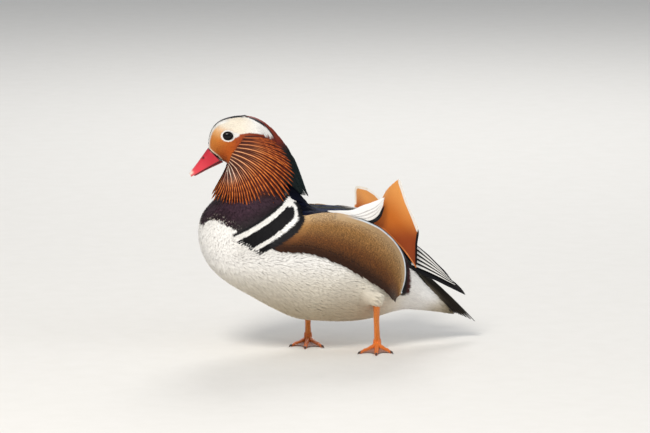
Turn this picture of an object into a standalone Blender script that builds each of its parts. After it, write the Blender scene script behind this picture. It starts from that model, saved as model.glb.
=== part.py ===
"""A life-size mandarin drake, walking with its neck drawn in and both sail feathers raised.

Sizes are in millimetres and are turned into metres where a mesh is made. The bill points
along -X, +Z is up, the bird's left side is -Y, and the floor is z = 0. The head, neck, crest
and ruff are drawn in the head's own plane, which is turned about the upright neck axis.
"""
import math

import bmesh
import bpy
import numpy as np
from mathutils import Vector
from mathutils.bvhtree import BVHTree

MM = 0.001
GAP = 0.35
BED_GAP = 0.75
HEAD_TURN = math.radians(-18.0)
NECK_X = -74.7
LEFT, RIGHT = -1, 1
SIDE_NAMES = {LEFT: "left", RIGHT: "right"}

# The trunk, neck and head as one row of flat sections. Each section stands on a chord from the
# dorsal line to the ventral line: share of the head's turn, dorsal x and z, ventral x and z,
# half width, how much the upper half is wider than the lower, and the roundness power.
# x is measured from the neck axis.
SECTIONS = np.array([
    (1.00, -63.5, 216.0, -50.0, 203.0, 8.8, 0.00, 2.2),
    (1.00, -63.2, 225.0, -46.5, 201.3, 12.0, 0.00, 2.1),
    (1.00, -59.5, 236.2, -43.5, 199.0, 14.6, 0.00, 2.1),
    (1.00, -52.0, 244.0, -41.0, 195.5, 16.4, 0.00, 2.1),
    (1.00, -41.0, 248.3, -38.5, 191.0, 17.4, 0.00, 2.1),
    (1.00, -29.0, 249.8, -37.0, 186.5, 18.0, 0.00, 2.1),
    (1.00, -18.5, 247.8, -37.5, 182.0, 18.4, 0.00, 2.1),
    (1.00, -9.0, 241.3, -39.5, 177.8, 18.8, 0.00, 2.1),
    (1.00, -2.5, 231.0, -42.5, 173.8, 19.6, 0.00, 2.1),
    (1.00, 1.0, 219.0, -46.0, 170.0, 21.0, 0.00, 2.1),
    (0.90, 4.5, 205.0, -51.0, 166.0, 23.5, 0.00, 2.1),
    (0.75, 10.0, 191.5, -57.0, 161.0, 27.5, 0.00, 2.1),
    (0.50, 18.0, 179.5, -63.5, 155.0, 32.5, 0.00, 2.1),
    (0.25, 27.0, 169.5, -69.8, 148.0, 38.0, 0.00, 2.1),
    (0.00, 34.5, 160.0, -74.2, 139.5, 43.0, 0.02, 2.1),
    (0.00, 41.0, 152.5, -75.8, 127.0, 47.5, 0.04, 2.15),
    (0.00, 47.0, 149.0, -73.8, 112.5, 51.5, 0.06, 2.2),
    (0.00, 53.0, 147.8, -68.0, 98.5, 54.8, 0.08, 2.25),
    (0.00, 59.5, 147.2, -58.0, 85.0, 57.2, 0.10, 2.3),
    (0.00, 66.5, 146.8, -42.0, 72.0, 59.0, 0.12, 2.3),
    (0.00, 74.0, 146.3, -22.0, 60.0, 60.0, 0.14, 2.3),
    (0.00, 82.0, 145.3, 1.0, 46.5, 60.0, 0.17, 2.3),
    (0.00, 91.0, 142.8, 28.0, 33.5, 59.0, 0.21, 2.3),
    (0.00, 101.0, 138.5, 57.0, 29.0, 57.0, 0.25, 2.25),
    (0.00, 112.0, 132.0, 85.0, 27.0, 53.5, 0.26, 2.2),
    (0.00, 124.0, 123.0, 110.0, 28.5, 47.5, 0.24, 2.2),
    (0.00, 137.0, 108.0, 131.0, 33.5, 40.5, 0.20, 2.15),
    (0.00, 150.0, 91.5, 149.0, 36.0, 32.5, 0.15, 2.1),
    (0.00, 162.5, 75.5, 164.5, 34.5, 25.5, 0.10, 2.1),
    (0.00, 175.0, 61.5, 178.5, 32.5, 19.0, 0.05, 2.0),
    (0.00, 186.5, 51.5, 190.5, 30.5, 12.5, 0.00, 2.0),
    (0.00, 196.0, 41.5, 200.0, 28.5, 7.0, 0.00, 2.0),
    (0.00, 203.0, 34.5, 206.0, 27.5, 2.5, 0.00, 2.0),
])
HEAD_SPAN = (0.0, 8.50)
NECK_SPAN = (8.57, 12.60)
TORSO_SPAN = (12.64, 32.0)

# The bill: culmen x and z, mouth line x and z, half width, in the head's plane
BILL = np.array([
    (-63.9, 215.6, -51.0, 203.2, 8.7),
    (-67.2, 211.0, -56.3, 200.2, 8.5),
    (-71.0, 205.6, -62.2, 197.0, 8.2),
    (-74.9, 200.2, -68.2, 193.6, 7.8),
    (-78.6, 195.2, -73.8, 190.2, 7.0),
    (-81.9, 191.2, -78.4, 187.4, 5.4),
    (-83.6, 188.4, -81.6, 185.4, 2.6),
])
LOWER_BILL_DEPTH = (3.6, 3.0, 2.6, 2.2, 1.9, 1.5)
NOSTRIL = (-69.0, 205.6)

EYE = (-42.6, 229.6)
EYE_RADII = (6.3, 4.2, 5.3)
EYE_SINK = 2.5
LID_RADII = (5.6, 4.75)
LID_THICK = 0.85

# The crest in the head's plane: its outer line, and the nape line that it lies on
CREST_OUTER = np.array([
    (-34.0, 250.2), (-24.0, 251.0), (-14.0, 249.0), (-4.0, 243.8), (5.5, 234.8), (12.0, 226.2),
    (19.5, 215.8), (25.2, 205.2), (30.9, 193.0), (36.5, 179.2), (42.5, 164.0),
])
CREST_INNER = np.array([
    (-34.0, 247.5), (-22.0, 246.5), (-12.0, 241.5), (-5.5, 233.5), (-1.5, 225.0), (1.5, 215.5),
    (5.0, 204.0), (9.0, 195.0), (14.0, 187.5), (20.0, 181.0), (28.0, 175.0),
])
CREST_TIERS = ((0.03, 0.46, 0.02, 3), (0.17, 0.64, 0.00, 3), (0.32, 0.82, 0.02, 3), (0.48, 1.00, 0.00, 3))

# The ruff fans out from a point on the cheek: fan angle in degrees, reach, sideways place of the tips
RUFF_CENTRE = (-36.0, 206.0)
RUFF = np.array([
    (26.0, 44.0, 17.0), (0.0, 57.0, 20.0), (-24.0, 69.0, 24.0), (-40.0, 67.0, 31.0), (-58.0, 57.0, 39.0),
    (-73.0, 51.0, 41.0), (-91.0, 47.0, 36.0), (-108.0, 47.0, 25.0), (-122.0, 51.0, 13.0),
])
RUFF_BEND = 12.0
RUFF_LOCKS = 22

# The buff flank, seen from the side: x and z along its upper edge and along its lower edge
FLANK_TOP = np.array([
    (-66.0, 146.0), (-44.0, 145.5), (-22.0, 144.5), (-5.0, 142.5), (12.8, 137.5), (22.5, 133.5), (33.6, 127.5),
    (43.2, 119.7), (50.1, 112.3), (55.6, 104.0), (58.6, 96.0), (60.0, 86.4), (60.0, 74.4), (57.5, 63.5),
])
FLANK_LOW = np.array([
    (-92.0, 121.0), (-76.0, 116.5), (-58.0, 115.7), (-40.0, 111.0), (-17.3, 102.0), (2.9, 90.6), (23.2, 77.9),
    (36.7, 69.4), (51.0, 56.5),
])
FLANK_DEPTH = 4.2

# The folded wing on the back: x and height angle in degrees round the trunk's axis
WING_INNER = np.array([(-42.0, 89.2), (0.0, 89.2), (40.0, 89.0), (80.0, 88.0)])
WING_DEPTH = 2.6
WING_CLEAR = 1.7

SAIL_BASE = np.array([
    (30.0, 135.5), (38.4, 130.6), (48.0, 122.8), (59.0, 111.0), (69.4, 98.0), (78.3, 85.0),
])
# The free edge of each sail, from its front foot over the peak to its hind foot. The right sail
# leans far out, so that it stands lower.
SAIL_OUTER = {
    LEFT: np.array([
        (30.0, 139.0), (34.5, 150.0), (39.0, 162.0), (43.5, 171.0), (49.5, 177.0), (56.5, 181.5),
        (60.5, 171.5), (65.5, 157.5), (73.0, 141.5), (79.6, 126.0), (78.6, 110.0), (79.2, 89.0),
    ]),
    RIGHT: np.array([
        (32.0, 138.5), (36.5, 144.0), (39.5, 149.0), (42.0, 152.0), (44.0, 154.5), (46.5, 156.0),
        (55.0, 152.5), (63.5, 147.0), (71.0, 140.0), (77.0, 128.5), (79.0, 111.0), (79.2, 89.0),
    ]),
}
SAIL_LEAN = {LEFT: 0.155, RIGHT: 0.92}
SAIL_LEAST_Y = 31.0

PRIMARY_TIP = Vector((139.0, -15.0, 50.0))
PRIMARY_ROOT = Vector((60.0, -30.0, 92.0))
PRIMARIES = 6

TAIL_ROOT = Vector((86.0, 0.0, 85.0))
TAIL_TIP = Vector((155.5, 0.0, 18.5))
TAIL_PAIRS = 6

LEGS = {
    LEFT: {"hip": (14.0, 34.0, 74.0), "ankle": (28.5, 46.0, 53.5), "foot": (36.5, 27.0), "toe_out": 70.0},
    RIGHT: {"hip": (-18.0, 31.0, 62.0), "ankle": (-20.0, 37.0, 34.0), "foot": (-21.0, 33.0), "toe_out": -68.0},
}
ANKLE_JOINT_Z = 9.0
TOES = ((28.0, 37.0), (0.0, 42.0), (-28.0, 33.0))
HIND_TOE = 9.0
CLAW = 5.0

COLOURS = {
    "torso": (0.80, 0.76, 0.68), "neck": (0.35, 0.12, 0.05), "head": (0.75, 0.42, 0.16),
    "bill": (0.80, 0.12, 0.12), "eye": (0.02, 0.015, 0.01), "crest": (0.22, 0.07, 0.03),
    "ruff": (0.62, 0.22, 0.05), "wing": (0.06, 0.07, 0.10), "sail": (0.80, 0.34, 0.07),
    "flank": (0.48, 0.32, 0.16), "tail": (0.10, 0.08, 0.06), "leg": (0.90, 0.38, 0.06),
}


def clear_scene():
    for thing in list(bpy.data.objects):
        bpy.data.objects.remove(thing, do_unlink=True)


def material(name, roughness=0.6, metallic=0.0):
    made = bpy.data.materials.get(name) or bpy.data.materials.new(name)
    made.use_nodes = True
    surface = made.node_tree.nodes["Principled BSDF"]
    surface.inputs["Base Color"].default_value = (*COLOURS[name], 1.0)
    surface.inputs["Roughness"].default_value = roughness
    surface.inputs["Metallic"].default_value = metallic
    return made


def curve_at(points, t):
    """A smooth curve through the rows of points, at t from 0 to the last row's number."""
    last = len(points) - 1
    i = min(int(t), last - 1)
    u = t - i
    a, b = points[max(i - 1, 0)], points[i]
    c, d = points[i + 1], points[min(i + 2, last)]
    return 0.5 * (2 * b + (c - a) * u + (2 * a - 5 * b + 4 * c - d) * u**2 + (3 * b - a - 3 * c + d) * u**3)


def share_of(points, share):
    """The curve's point at a share, 0 to 1, of its rows."""
    return curve_at(points, share * (len(points) - 1))


def by_length(points, share):
    """The curve's point at a share, 0 to 1, of its length in the first two columns."""
    steps = np.linalg.norm(np.diff(points[:, :2], axis=0), axis=1)
    run = np.concatenate([[0.0], np.cumsum(steps)])
    return curve_at(points, float(np.interp(share * run[-1], run, np.arange(len(points)))))


def power_wave(value, power):
    return math.copysign(abs(value) ** (2.0 / power), value)


def turned(x, y, z, turn=1.0):
    """A point given from the neck axis, turned with the head by a share of its turn."""
    angle = HEAD_TURN * turn
    return Vector((NECK_X + x * math.cos(angle) - y * math.sin(angle), x * math.sin(angle) + y * math.cos(angle), z))


def section(t, count, lift=0.0):
    """The ring of the trunk, neck or head at section number t."""
    turn, top_x, top_z, low_x, low_z, half, wider, power = curve_at(SECTIONS, t)
    middle = Vector(((top_x + low_x) / 2, (top_z + low_z) / 2))
    up = Vector((top_x - low_x, top_z - low_z)) / 2
    reach = up.length + lift
    up.normalize()
    ring = []
    for k in range(count):
        angle = 2 * math.pi * k / count
        rise = power_wave(math.sin(angle), power)
        side = (half + lift) * power_wave(math.cos(angle), power) * (1 + wider * rise)
        ring.append(turned(middle.x + up.x * rise * reach, side, middle.y + up.y * rise * reach, turn))
    return ring


def new_object(name, points, faces, look):
    """A named mesh object from points in millimetres, with its faces turned outwards."""
    mesh = bpy.data.meshes.new(name)
    mesh.from_pydata([Vector(p) * MM for p in points], [], faces)
    work = bmesh.new()
    work.from_mesh(mesh)
    bmesh.ops.recalc_face_normals(work, faces=work.faces)
    work.to_mesh(mesh)
    work.free()
    mesh.materials.append(look)
    made = bpy.data.objects.new(name, mesh)
    DUCK.objects.link(made)
    return made


def loft(rings):
    """Points and faces of a closed body through rings of equal count, with a flat face at each end."""
    count = len(rings[0])
    points = [p for ring in rings for p in ring]
    faces = [tuple(range(count)), tuple(len(points) - 1 - k for k in range(count))]
    for i in range(len(rings) - 1):
        for k in range(count):
            a, b = i * count + k, i * count + (k + 1) % count
            faces.append((a, b, b + count, a + count))
    return points, faces


def slab(rows, normals, depth):
    """A thin closed sheet on a grid of points, split into the same triangles on both faces.

    rows[i][j] is a point of the middle surface and normals[i][j] its normal, and depth(i, j) gives
    (how far the outer face stands out, how far the inner face lies in).
    """
    high, wide = len(rows), len(rows[0])
    outer, inner = [], []
    for i in range(high):
        for j in range(wide):
            out, back = depth(i, j)
            outer.append(rows[i][j] + normals[i][j] * out)
            inner.append(rows[i][j] - normals[i][j] * back)
    shift = high * wide
    faces = []
    for i in range(high - 1):
        for j in range(wide - 1):
            a, b = i * wide + j, i * wide + j + 1
            c, d = a + wide, b + wide
            for one, two, three in ((a, b, d), (a, d, c)):
                faces.append((one, two, three))
                faces.append((shift + three, shift + two, shift + one))
    rim = [j for j in range(wide)] + [i * wide + wide - 1 for i in range(1, high)]
    rim += [(high - 1) * wide + j for j in range(wide - 2, -1, -1)] + [i * wide for i in range(high - 2, 0, -1)]
    for a, b in zip(rim, rim[1:] + rim[:1]):
        faces.append((a, b, shift + b))
        faces.append((a, shift + b, shift + a))
    return outer + inner, faces


def vane(path, normals, widths, thick):
    """A thin feather or lock along a path: a slab two points wide."""
    rows, ups = [], []
    for i, (point, normal) in enumerate(zip(path, normals)):
        along = path[min(i + 1, len(path) - 1)] - path[max(i - 1, 0)]
        across = along.cross(normal).normalized()
        up = across.cross(along).normalized()
        rows.append([point - across * widths[i] / 2, point + across * widths[i] / 2])
        ups.append([up, up])
    return slab(rows, ups, lambda i, j: (thick / 2, thick / 2))


def bow(start, end, lift, count):
    """Points from start to end on an arch that rises by the vector lift at its middle."""
    points = []
    for i in range(count):
        s = i / (count - 1)
        points.append(start.lerp(end, s) + lift * (4 * s * (1 - s)))
    return points


FEATHER_SHAPE = (0.6, 0.95, 1.0, 0.8, 0.2)
LOCK_SHAPE = (0.5, 0.9, 1.0, 0.7, 0.12)


def feather(start, end, normal, width, thick=0.8, lift=0.0, end_normal=None, shape=FEATHER_SHAPE):
    """A vane from start to end, arched outwards by lift."""
    normal = normal.normalized()
    last = (end_normal or normal).normalized()
    path = bow(start, end, normal * lift, len(shape))
    normals = [normal.lerp(last, i / (len(shape) - 1)).normalized() for i in range(len(shape))]
    return vane(path, normals, [width * s for s in shape], thick)


def evaluated_mesh(thing):
    bpy.context.view_layer.update()
    graph = bpy.context.evaluated_depsgraph_get()
    return bpy.data.meshes.new_from_object(thing.evaluated_get(graph))


def keep_largest(mesh):
    """Drops every closed surface but the one round the largest volume."""
    work = bmesh.new()
    work.from_mesh(mesh)
    work.faces.ensure_lookup_table()
    seen, shells = set(), []
    for face in work.faces:
        if face in seen:
            continue
        shell, queue = [], [face]
        seen.add(face)
        while queue:
            here = queue.pop()
            shell.append(here)
            for edge in here.edges:
                for other in edge.link_faces:
                    if other not in seen:
                        seen.add(other)
                        queue.append(other)
        shells.append(shell)

    def volume(shell):
        total = 0.0
        for face in shell:
            first = face.verts[0].co
            for b, c in zip(face.verts[1:-1], face.verts[2:]):
                total += first.dot(b.co.cross(c.co)) / 6
        return abs(total)

    shells.sort(key=volume, reverse=True)
    extra = [face for shell in shells[1:] for face in shell]
    bmesh.ops.delete(work, geom=extra, context="FACES")
    work.to_mesh(mesh)
    work.free()


def boolean(thing, others, operation):
    """Applies one Boolean with a collection of other objects, and removes those."""
    group = bpy.data.collections.new(thing.name + "_tools")
    bpy.context.scene.collection.children.link(group)
    for other in others:
        for home in list(other.users_collection):
            home.objects.unlink(other)
        group.objects.link(other)
    change = thing.modifiers.new(operation.lower(), "BOOLEAN")
    change.operation = operation
    change.operand_type = "COLLECTION"
    change.collection = group
    change.solver = "MANIFOLD"
    made = evaluated_mesh(thing)
    thing.modifiers.clear()
    thing.data = made
    for other in list(group.objects):
        bpy.data.objects.remove(other, do_unlink=True)
    bpy.data.collections.remove(group)
    keep_largest(made)


def fused(name, pieces, look, clear_of=()):
    """One closed node from overlapping pieces, cut back by a thin gap from the nodes that it lies on."""
    base = new_object(name, *pieces[0], look)
    others = [new_object(f"{name}_{i}", *piece, look) for i, piece in enumerate(pieces[1:])]
    if others:
        boolean(base, others, "UNION")
    for other in clear_of:
        boolean(base, [swollen(other, GAP)], "DIFFERENCE")
    return base


def swollen(thing, grow):
    """A copy of a node with every face moved outwards by grow."""
    copy = bpy.data.objects.new(thing.name + "_swollen", thing.data.copy())
    DUCK.objects.link(copy)
    work = bmesh.new()
    work.from_mesh(copy.data)
    work.normal_update()
    moved = [(v, v.co + v.normal * (grow * MM * v.calc_shell_factor())) for v in work.verts]
    for v, place in moved:
        v.co = place
    work.to_mesh(copy.data)
    work.free()
    return copy


def skin_tree():
    """The trunk, neck and head as a fine surface for placing things on."""
    rings = [section(t, 72) for t in np.linspace(0.0, 32.0, 161)]
    points, faces = loft(rings)
    return BVHTree.FromPolygons(points, faces[2:])


def cast(origin, direction, reach=200.0):
    """Where a ray from outside meets the skin: the point and its outward normal, or None."""
    direction = direction.normalized()
    place, normal, _, _ = SKIN.ray_cast(origin, direction, reach)
    if place is None:
        return None
    return place, normal if normal.dot(direction) < 0 else -normal


def side_point(x, z, side, lift):
    """The point of the trunk's side seen at x and z, moved out by lift, and its normal."""
    found = cast(Vector((x, side * 150.0, z)), Vector((0, -side, 0)))
    place, normal = found
    return place + normal * lift, normal


def trunk_axis(x):
    return Vector((x, 0.0, float(np.interp(x, (-60.0, 0.0, 60.0, 100.0), (100.0, 92.0, 70.0, 48.0)))))


def back_point(x, angle, side, lift):
    """The point of the trunk at x and at an angle above the horizontal round its axis."""
    out = Vector((0.0, side * math.cos(math.radians(angle)), math.sin(math.radians(angle))))
    place, normal = cast(trunk_axis(x) + out * 150.0, -out)
    return place + normal * lift, normal


def angle_of(x, z, side):
    """The angle round the trunk's axis at which the trunk's surface has the height z."""
    low, high = -60.0, 89.0
    for _ in range(24):
        middle = (low + high) / 2
        if back_point(x, middle, side, 0.0)[0].z < z:
            low = middle
        else:
            high = middle
    return low


def head_side(x, z, side):
    """How far to the side the skin lies at x and z of the head's plane, or None."""
    origin = turned(x, side * 90.0, z)
    found = cast(origin, turned(x, 0.0, z) - origin, 90.0)
    return None if found is None else 90.0 - (found[0] - origin).length


def make_trunk():
    spans = (("torso", TORSO_SPAN, 32, 26, "torso"), ("neck", NECK_SPAN, 7, 24, "neck"))
    made = {}
    for name, (first, last), rings, count, look in spans:
        made[name] = new_object(name, *loft([section(t, count) for t in np.linspace(first, last, rings)]),
                                material(look))
    return made


def ellipsoid(name, centre, radii, look, segments=16, rings=10):
    work = bmesh.new()
    bmesh.ops.create_uvsphere(work, u_segments=segments, v_segments=rings, radius=1.0)
    turn = HEAD_TURN
    for v in work.verts:
        x, y, z = v.co.x * radii[0], v.co.y * radii[1], v.co.z * radii[2]
        v.co = (x * math.cos(turn) - y * math.sin(turn), x * math.sin(turn) + y * math.cos(turn), z)
        v.co = (v.co + Vector(centre)) * MM
    mesh = bpy.data.meshes.new(name)
    work.to_mesh(mesh)
    work.free()
    mesh.materials.append(look)
    made = bpy.data.objects.new(name, mesh)
    DUCK.objects.link(made)
    return made


def lid_ring(side, reach, count=18, around=5):
    """The rim of the lids: an oval ring standing a little proud of the cheek."""
    rings = []
    for k in range(count):
        angle = 2 * math.pi * k / count
        x, z = math.cos(angle), math.sin(angle)
        ring = []
        for m in range(around):
            turn = 2 * math.pi * m / around
            grow = 1 + LID_THICK * math.cos(turn) / LID_RADII[0]
            ring.append(turned(EYE[0] + x * LID_RADII[0] * grow, side * (reach + LID_THICK * math.sin(turn)),
                               EYE[1] + z * LID_RADII[1] * grow))
        rings.append(ring)
    points = [p for ring in rings for p in ring]
    faces = []
    for i in range(count):
        for m in range(around):
            a, b = i * around + m, i * around + (m + 1) % around
            c, d = (i + 1) % count * around + m, (i + 1) % count * around + (m + 1) % around
            faces.append((a, b, d, c))
    return points, faces


def make_head():
    """The face and crown with lids and eye cups, and the two eyes."""
    first, last = HEAD_SPAN
    pieces = [loft([section(t, 24) for t in np.linspace(first, last, 14)])]
    cups = []
    for side in (LEFT, RIGHT):
        reach = head_side(*EYE, side)
        pieces.append(lid_ring(side, reach - 0.1))
        centre = turned(EYE[0], side * (reach - EYE_SINK), EYE[1])
        ellipsoid(f"eye_{SIDE_NAMES[side]}", centre, EYE_RADII, material("eye", 0.05))
        cups.append(ellipsoid("cup", centre, [r + GAP for r in EYE_RADII], material("eye")))
    head = fused("head", pieces, material("head"))
    boolean(head, cups, "DIFFERENCE")
    return head


def bill_ring(row, high, low, count=16):
    """A ring that stands up from the mouth line by a share of the culmen's height, and down by low."""
    top_x, top_z, mouth_x, mouth_z, half = row
    up = Vector((top_x - mouth_x, top_z - mouth_z))
    down = up.normalized()
    ring = []
    for k in range(count):
        angle = 2 * math.pi * k / count
        rise = math.sin(angle)
        x, z = (mouth_x, mouth_z)
        if rise > 0:
            x, z = x + up.x * rise * high, z + up.y * rise * high
        else:
            x, z = x + down.x * rise * low, z + down.y * rise * low
        ring.append(turned(x, half * power_wave(math.cos(angle), 2.3), z))
    return ring


def make_bill():
    """The upper bill with its nostrils, and the lower bill under the line of the mouth."""
    rows = [share_of(BILL, s) for s in np.linspace(0, 1, 10)]
    upper = new_object("bill_upper", *loft([bill_ring(row, 1.0, 0.25) for row in rows]), material("bill", 0.35))
    holes = []
    for side in (LEFT, RIGHT):
        holes.append(ellipsoid("nostril", turned(NOSTRIL[0], side * 7.6, NOSTRIL[1]), (2.2, 2.6, 1.0),
                               material("bill"), 10, 6))
    boolean(upper, holes, "DIFFERENCE")
    rings = []
    for row, depth in zip(BILL, LOWER_BILL_DEPTH):
        drop = Vector((row[0] - row[2], row[1] - row[3])).normalized() * (0.25 + GAP)
        low = np.array([row[0], row[1], row[2] - drop.x, row[3] - drop.y, row[4] - 0.7])
        rings.append(bill_ring(low, 0.0, depth, 12))
    lower_points, lower_faces = loft(rings)
    new_object("bill_lower", lower_points, lower_faces, material("bill", 0.35))


def make_crest():
    """The long crown and nape feathers, as tapered locks over a slim core."""
    def place(s, depth, y):
        point = by_length(CREST_OUTER, s) * (1 - depth) + by_length(CREST_INNER, s) * depth
        return turned(point[0], y, point[1])

    def outward(s, y):
        a, b = by_length(CREST_OUTER, max(s - 0.04, 0)), by_length(CREST_OUTER, min(s + 0.04, 1))
        flat = Vector((a[1] - b[1], b[0] - a[0])).normalized()
        return turned(flat.x, y * 0.07, flat.y) - turned(0, 0, 0)

    rings = []
    for s in np.linspace(0.03, 0.50, 6):
        half = 8.5 - 3.5 * s
        middle, deep = place(s, 0.78, 0.0), place(s, 1.02, 0.0)
        ring = []
        for k in range(10):
            angle = 2 * math.pi * k / 10
            across = turned(0.0, half * math.cos(angle), 0.0) - turned(0.0, 0.0, 0.0)
            ring.append(middle + across + (deep - middle) * math.sin(angle))
        rings.append(ring)
    pieces = [loft(rings)]
    last = len(LOCK_SHAPE) - 1
    for number, (start, end, rise, count) in enumerate(CREST_TIERS):
        for k in range(count):
            share = 2 * k / (count - 1) - 1
            wide = 8.0 - 5.0 * end
            path, normals = [], []
            for i in range(last + 1):
                s = start + (end - start) * (1 - 0.06 * abs(share)) * i / last
                depth = max(0.85 * max(0.0, 1 - i / 1.4), rise + 0.40 * abs(share))
                path.append(place(s, depth, share * (wide + 2.5 * math.sin(math.pi * i / last))))
                normals.append(outward(s, share * 9.0))
            pieces.append(vane(path, normals, [8.0 * w for w in LOCK_SHAPE], 1.3))
    return pieces


def ruff_point(angle, share, side, lift):
    """A point of the ruff's outer surface on the fan line at angle, at a share of its reach."""
    _, reach, wide = np.array([np.interp(-angle, -RUFF[:, 0], RUFF[:, c]) for c in range(3)])
    radius = reach * share
    x = RUFF_CENTRE[0] + radius * math.cos(math.radians(angle))
    z = RUFF_CENTRE[1] + radius * math.sin(math.radians(angle))
    free = 15.0 + (wide - 15.0) * share + 2.0 * math.sin(math.pi * share)
    under = head_side(x, z, side)
    y = free if under is None else max(under + 0.9, free)
    return turned(x, side * (y + lift), z)


def make_ruff(side):
    """The hackles of one cheek, as a fan of tapered locks over a thin base."""
    angles = np.linspace(24.0, -110.0, 9)
    shares = (0.12, 0.30, 0.48)
    out = turned(0.0, side, 0.0) - turned(0.0, 0.0, 0.0)
    rows = [[ruff_point(a, s, side, 0.0) for s in shares] for a in angles]
    normals = [[out] * len(shares) for _ in angles]
    pieces = [slab(rows, normals, lambda i, j: (0.8, 0.9))]
    last = len(LOCK_SHAPE) - 1
    for k in range(RUFF_LOCKS):
        angle = 24.0 - 146.0 * k / (RUFF_LOCKS - 1)
        reach, lift = ((0.90, 0.9), (1.0, 1.9))[k % 2]
        bend = RUFF_BEND * min(1.0, (angle + 120.0) / 60.0)
        path = []
        for i in range(last + 1):
            share = 0.2 + (reach - 0.2) * i / last
            path.append(ruff_point(angle + bend * (0.6 - share), share, side, 0.2 + lift * min(1.0, i)))
        pieces.append(vane(path, [out] * (last + 1), [7.2 * w for w in LOCK_SHAPE], 1.0))
    return pieces


def make_flank(side):
    """The buff side feathers, a pad that is thick along its upper and rear edge."""
    high, wide = 20, 7
    rows, normals = [], []
    for i in range(high):
        s = i / (high - 1)
        top, low = by_length(FLANK_TOP, s), by_length(FLANK_LOW, s)
        row, ups = [], []
        for j in range(wide):
            v = j / (wide - 1)
            x, z = low + (top - low) * math.sin(v * math.pi / 2)
            place, normal = side_point(x, z, side, 0.0)
            row.append(place)
            ups.append(normal)
        rows.append(row)
        normals.append(ups)

    def depth(i, j):
        front = min(1.0, i / 5)
        rise = (j / (wide - 1)) ** 0.8
        rear = max(0.0, (i - high + 5) / 4)
        return 0.9 + (FLANK_DEPTH - 0.9) * front * max(rise, rear), -BED_GAP

    return slab(rows, normals, depth)


def make_wing(side):
    """The folded wing: a thin bed on the back with scapulars, coverts and flight feathers on it."""
    high, wide = 16, 6
    outer = []
    for s in np.linspace(0.10, 0.985, 16):
        x, z = by_length(FLANK_TOP, s)
        step = by_length(FLANK_TOP, s + 0.01) - by_length(FLANK_TOP, s - 0.01)
        step /= np.linalg.norm(step)
        steep = abs(side_point(x, z, side, 0.0)[1].y)
        x, z = x - WING_CLEAR * step[1], z + WING_CLEAR * step[0] * steep
        outer.append((x, angle_of(x, z, side)))
    outer = np.array(outer)
    rows, normals = [], []
    for i in range(high):
        s = i / (high - 1)
        inner, edge = share_of(WING_INNER, s), share_of(outer, s)
        row, ups = [], []
        for j in range(wide):
            v = j / (wide - 1)
            x, angle = inner + (edge - inner) * v
            place, normal = back_point(x, angle, side, 0.0)
            row.append(place)
            ups.append(normal)
        rows.append(row)
        normals.append(ups)

    def depth(i, j):
        front = min(1.0, (i + 1) / 4)
        return 0.9 + (WING_DEPTH - 0.9) * front, -BED_GAP

    pieces = [slab(rows, normals, depth)]

    last = len(FEATHER_SHAPE) - 1

    ahead = outer[:np.argmax(outer[:, 0])]

    def edge_angle(x):
        return float(np.interp(x, ahead[:, 0], ahead[:, 1]))

    def laid(start, end, width, rise):
        """A feather along the back between two places of x and angle, its root sunk in the bed."""
        path, ups = [], []
        for i in range(last + 1):
            s = i / last
            x, angle = start[0] + (end[0] - start[0]) * s, start[1] + (end[1] - start[1]) * s
            lift = WING_DEPTH - 0.9 + (rise + 0.9) * min(1.0, i / 1.5)
            place, normal = back_point(x, angle, side, lift)
            path.append(place)
            ups.append(normal)
        pieces.append(vane(path, ups, [width * w for w in FEATHER_SHAPE], 0.9))

    for k in range(4):
        laid((-38.0 + 22.0 * k, 76.0), (-2.0 + 24.0 * k, 76.0), 15.0, 1.4)
        first, end = -36.0 + 20.0 * k, -2.0 + 18.0 * k
        laid((first, edge_angle(first) + 12.0), (end, edge_angle(end) + 14.0), 11.0, 1.0)
    return pieces


def primaries(side):
    """The long flight feathers that reach back over the tail, the longest lowest."""
    pieces = []
    out = Vector((0.25, side * 0.80, 0.55)).normalized()
    for k in range(PRIMARIES):
        tip = Vector((PRIMARY_TIP.x - 8.0 * k, -side * (PRIMARY_TIP.y + 1.2 * k), PRIMARY_TIP.z + 7.2 * k))
        root = Vector((PRIMARY_ROOT.x + 0.5 * k, -side * (PRIMARY_ROOT.y + 1.4 * k), PRIMARY_ROOT.z + 3.4 * k))
        pieces.append(feather(root, tip, out, 9.0, 0.8, 2.0))
    return pieces


def make_sail(side):
    """One raised sail feather, a thin cupped sheet standing on the folded wing."""
    high, wide = 13, 6
    rows = []
    for i in range(high):
        s = i / (high - 1)
        base, outer = share_of(SAIL_BASE, s), share_of(SAIL_OUTER[side], s)
        place, normal = side_point(base[0], base[1], side, 0.0)
        root = max(abs(place.y) + (WING_DEPTH - 0.4) / abs(normal.y), SAIL_LEAST_Y)
        row = []
        for j in range(wide):
            v = j / (wide - 1)
            x, z = base + (outer - base) * v
            rise = max(0.0, z - base[1])
            row.append(Vector((x, side * (root + SAIL_LEAN[side] * rise - 1.5 * math.sin(math.pi * v)), z)))
        rows.append(row)
    normals = []
    for i in range(high):
        ups = []
        for j in range(wide):
            along = rows[min(i + 1, high - 1)][j] - rows[max(i - 1, 0)][j]
            across = rows[i][min(j + 1, wide - 1)] - rows[i][max(j - 1, 0)]
            ups.append(along.cross(across).normalized())
        normals.append(ups)
    return slab(rows, normals, lambda i, j: (0.5, 0.5))


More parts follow.
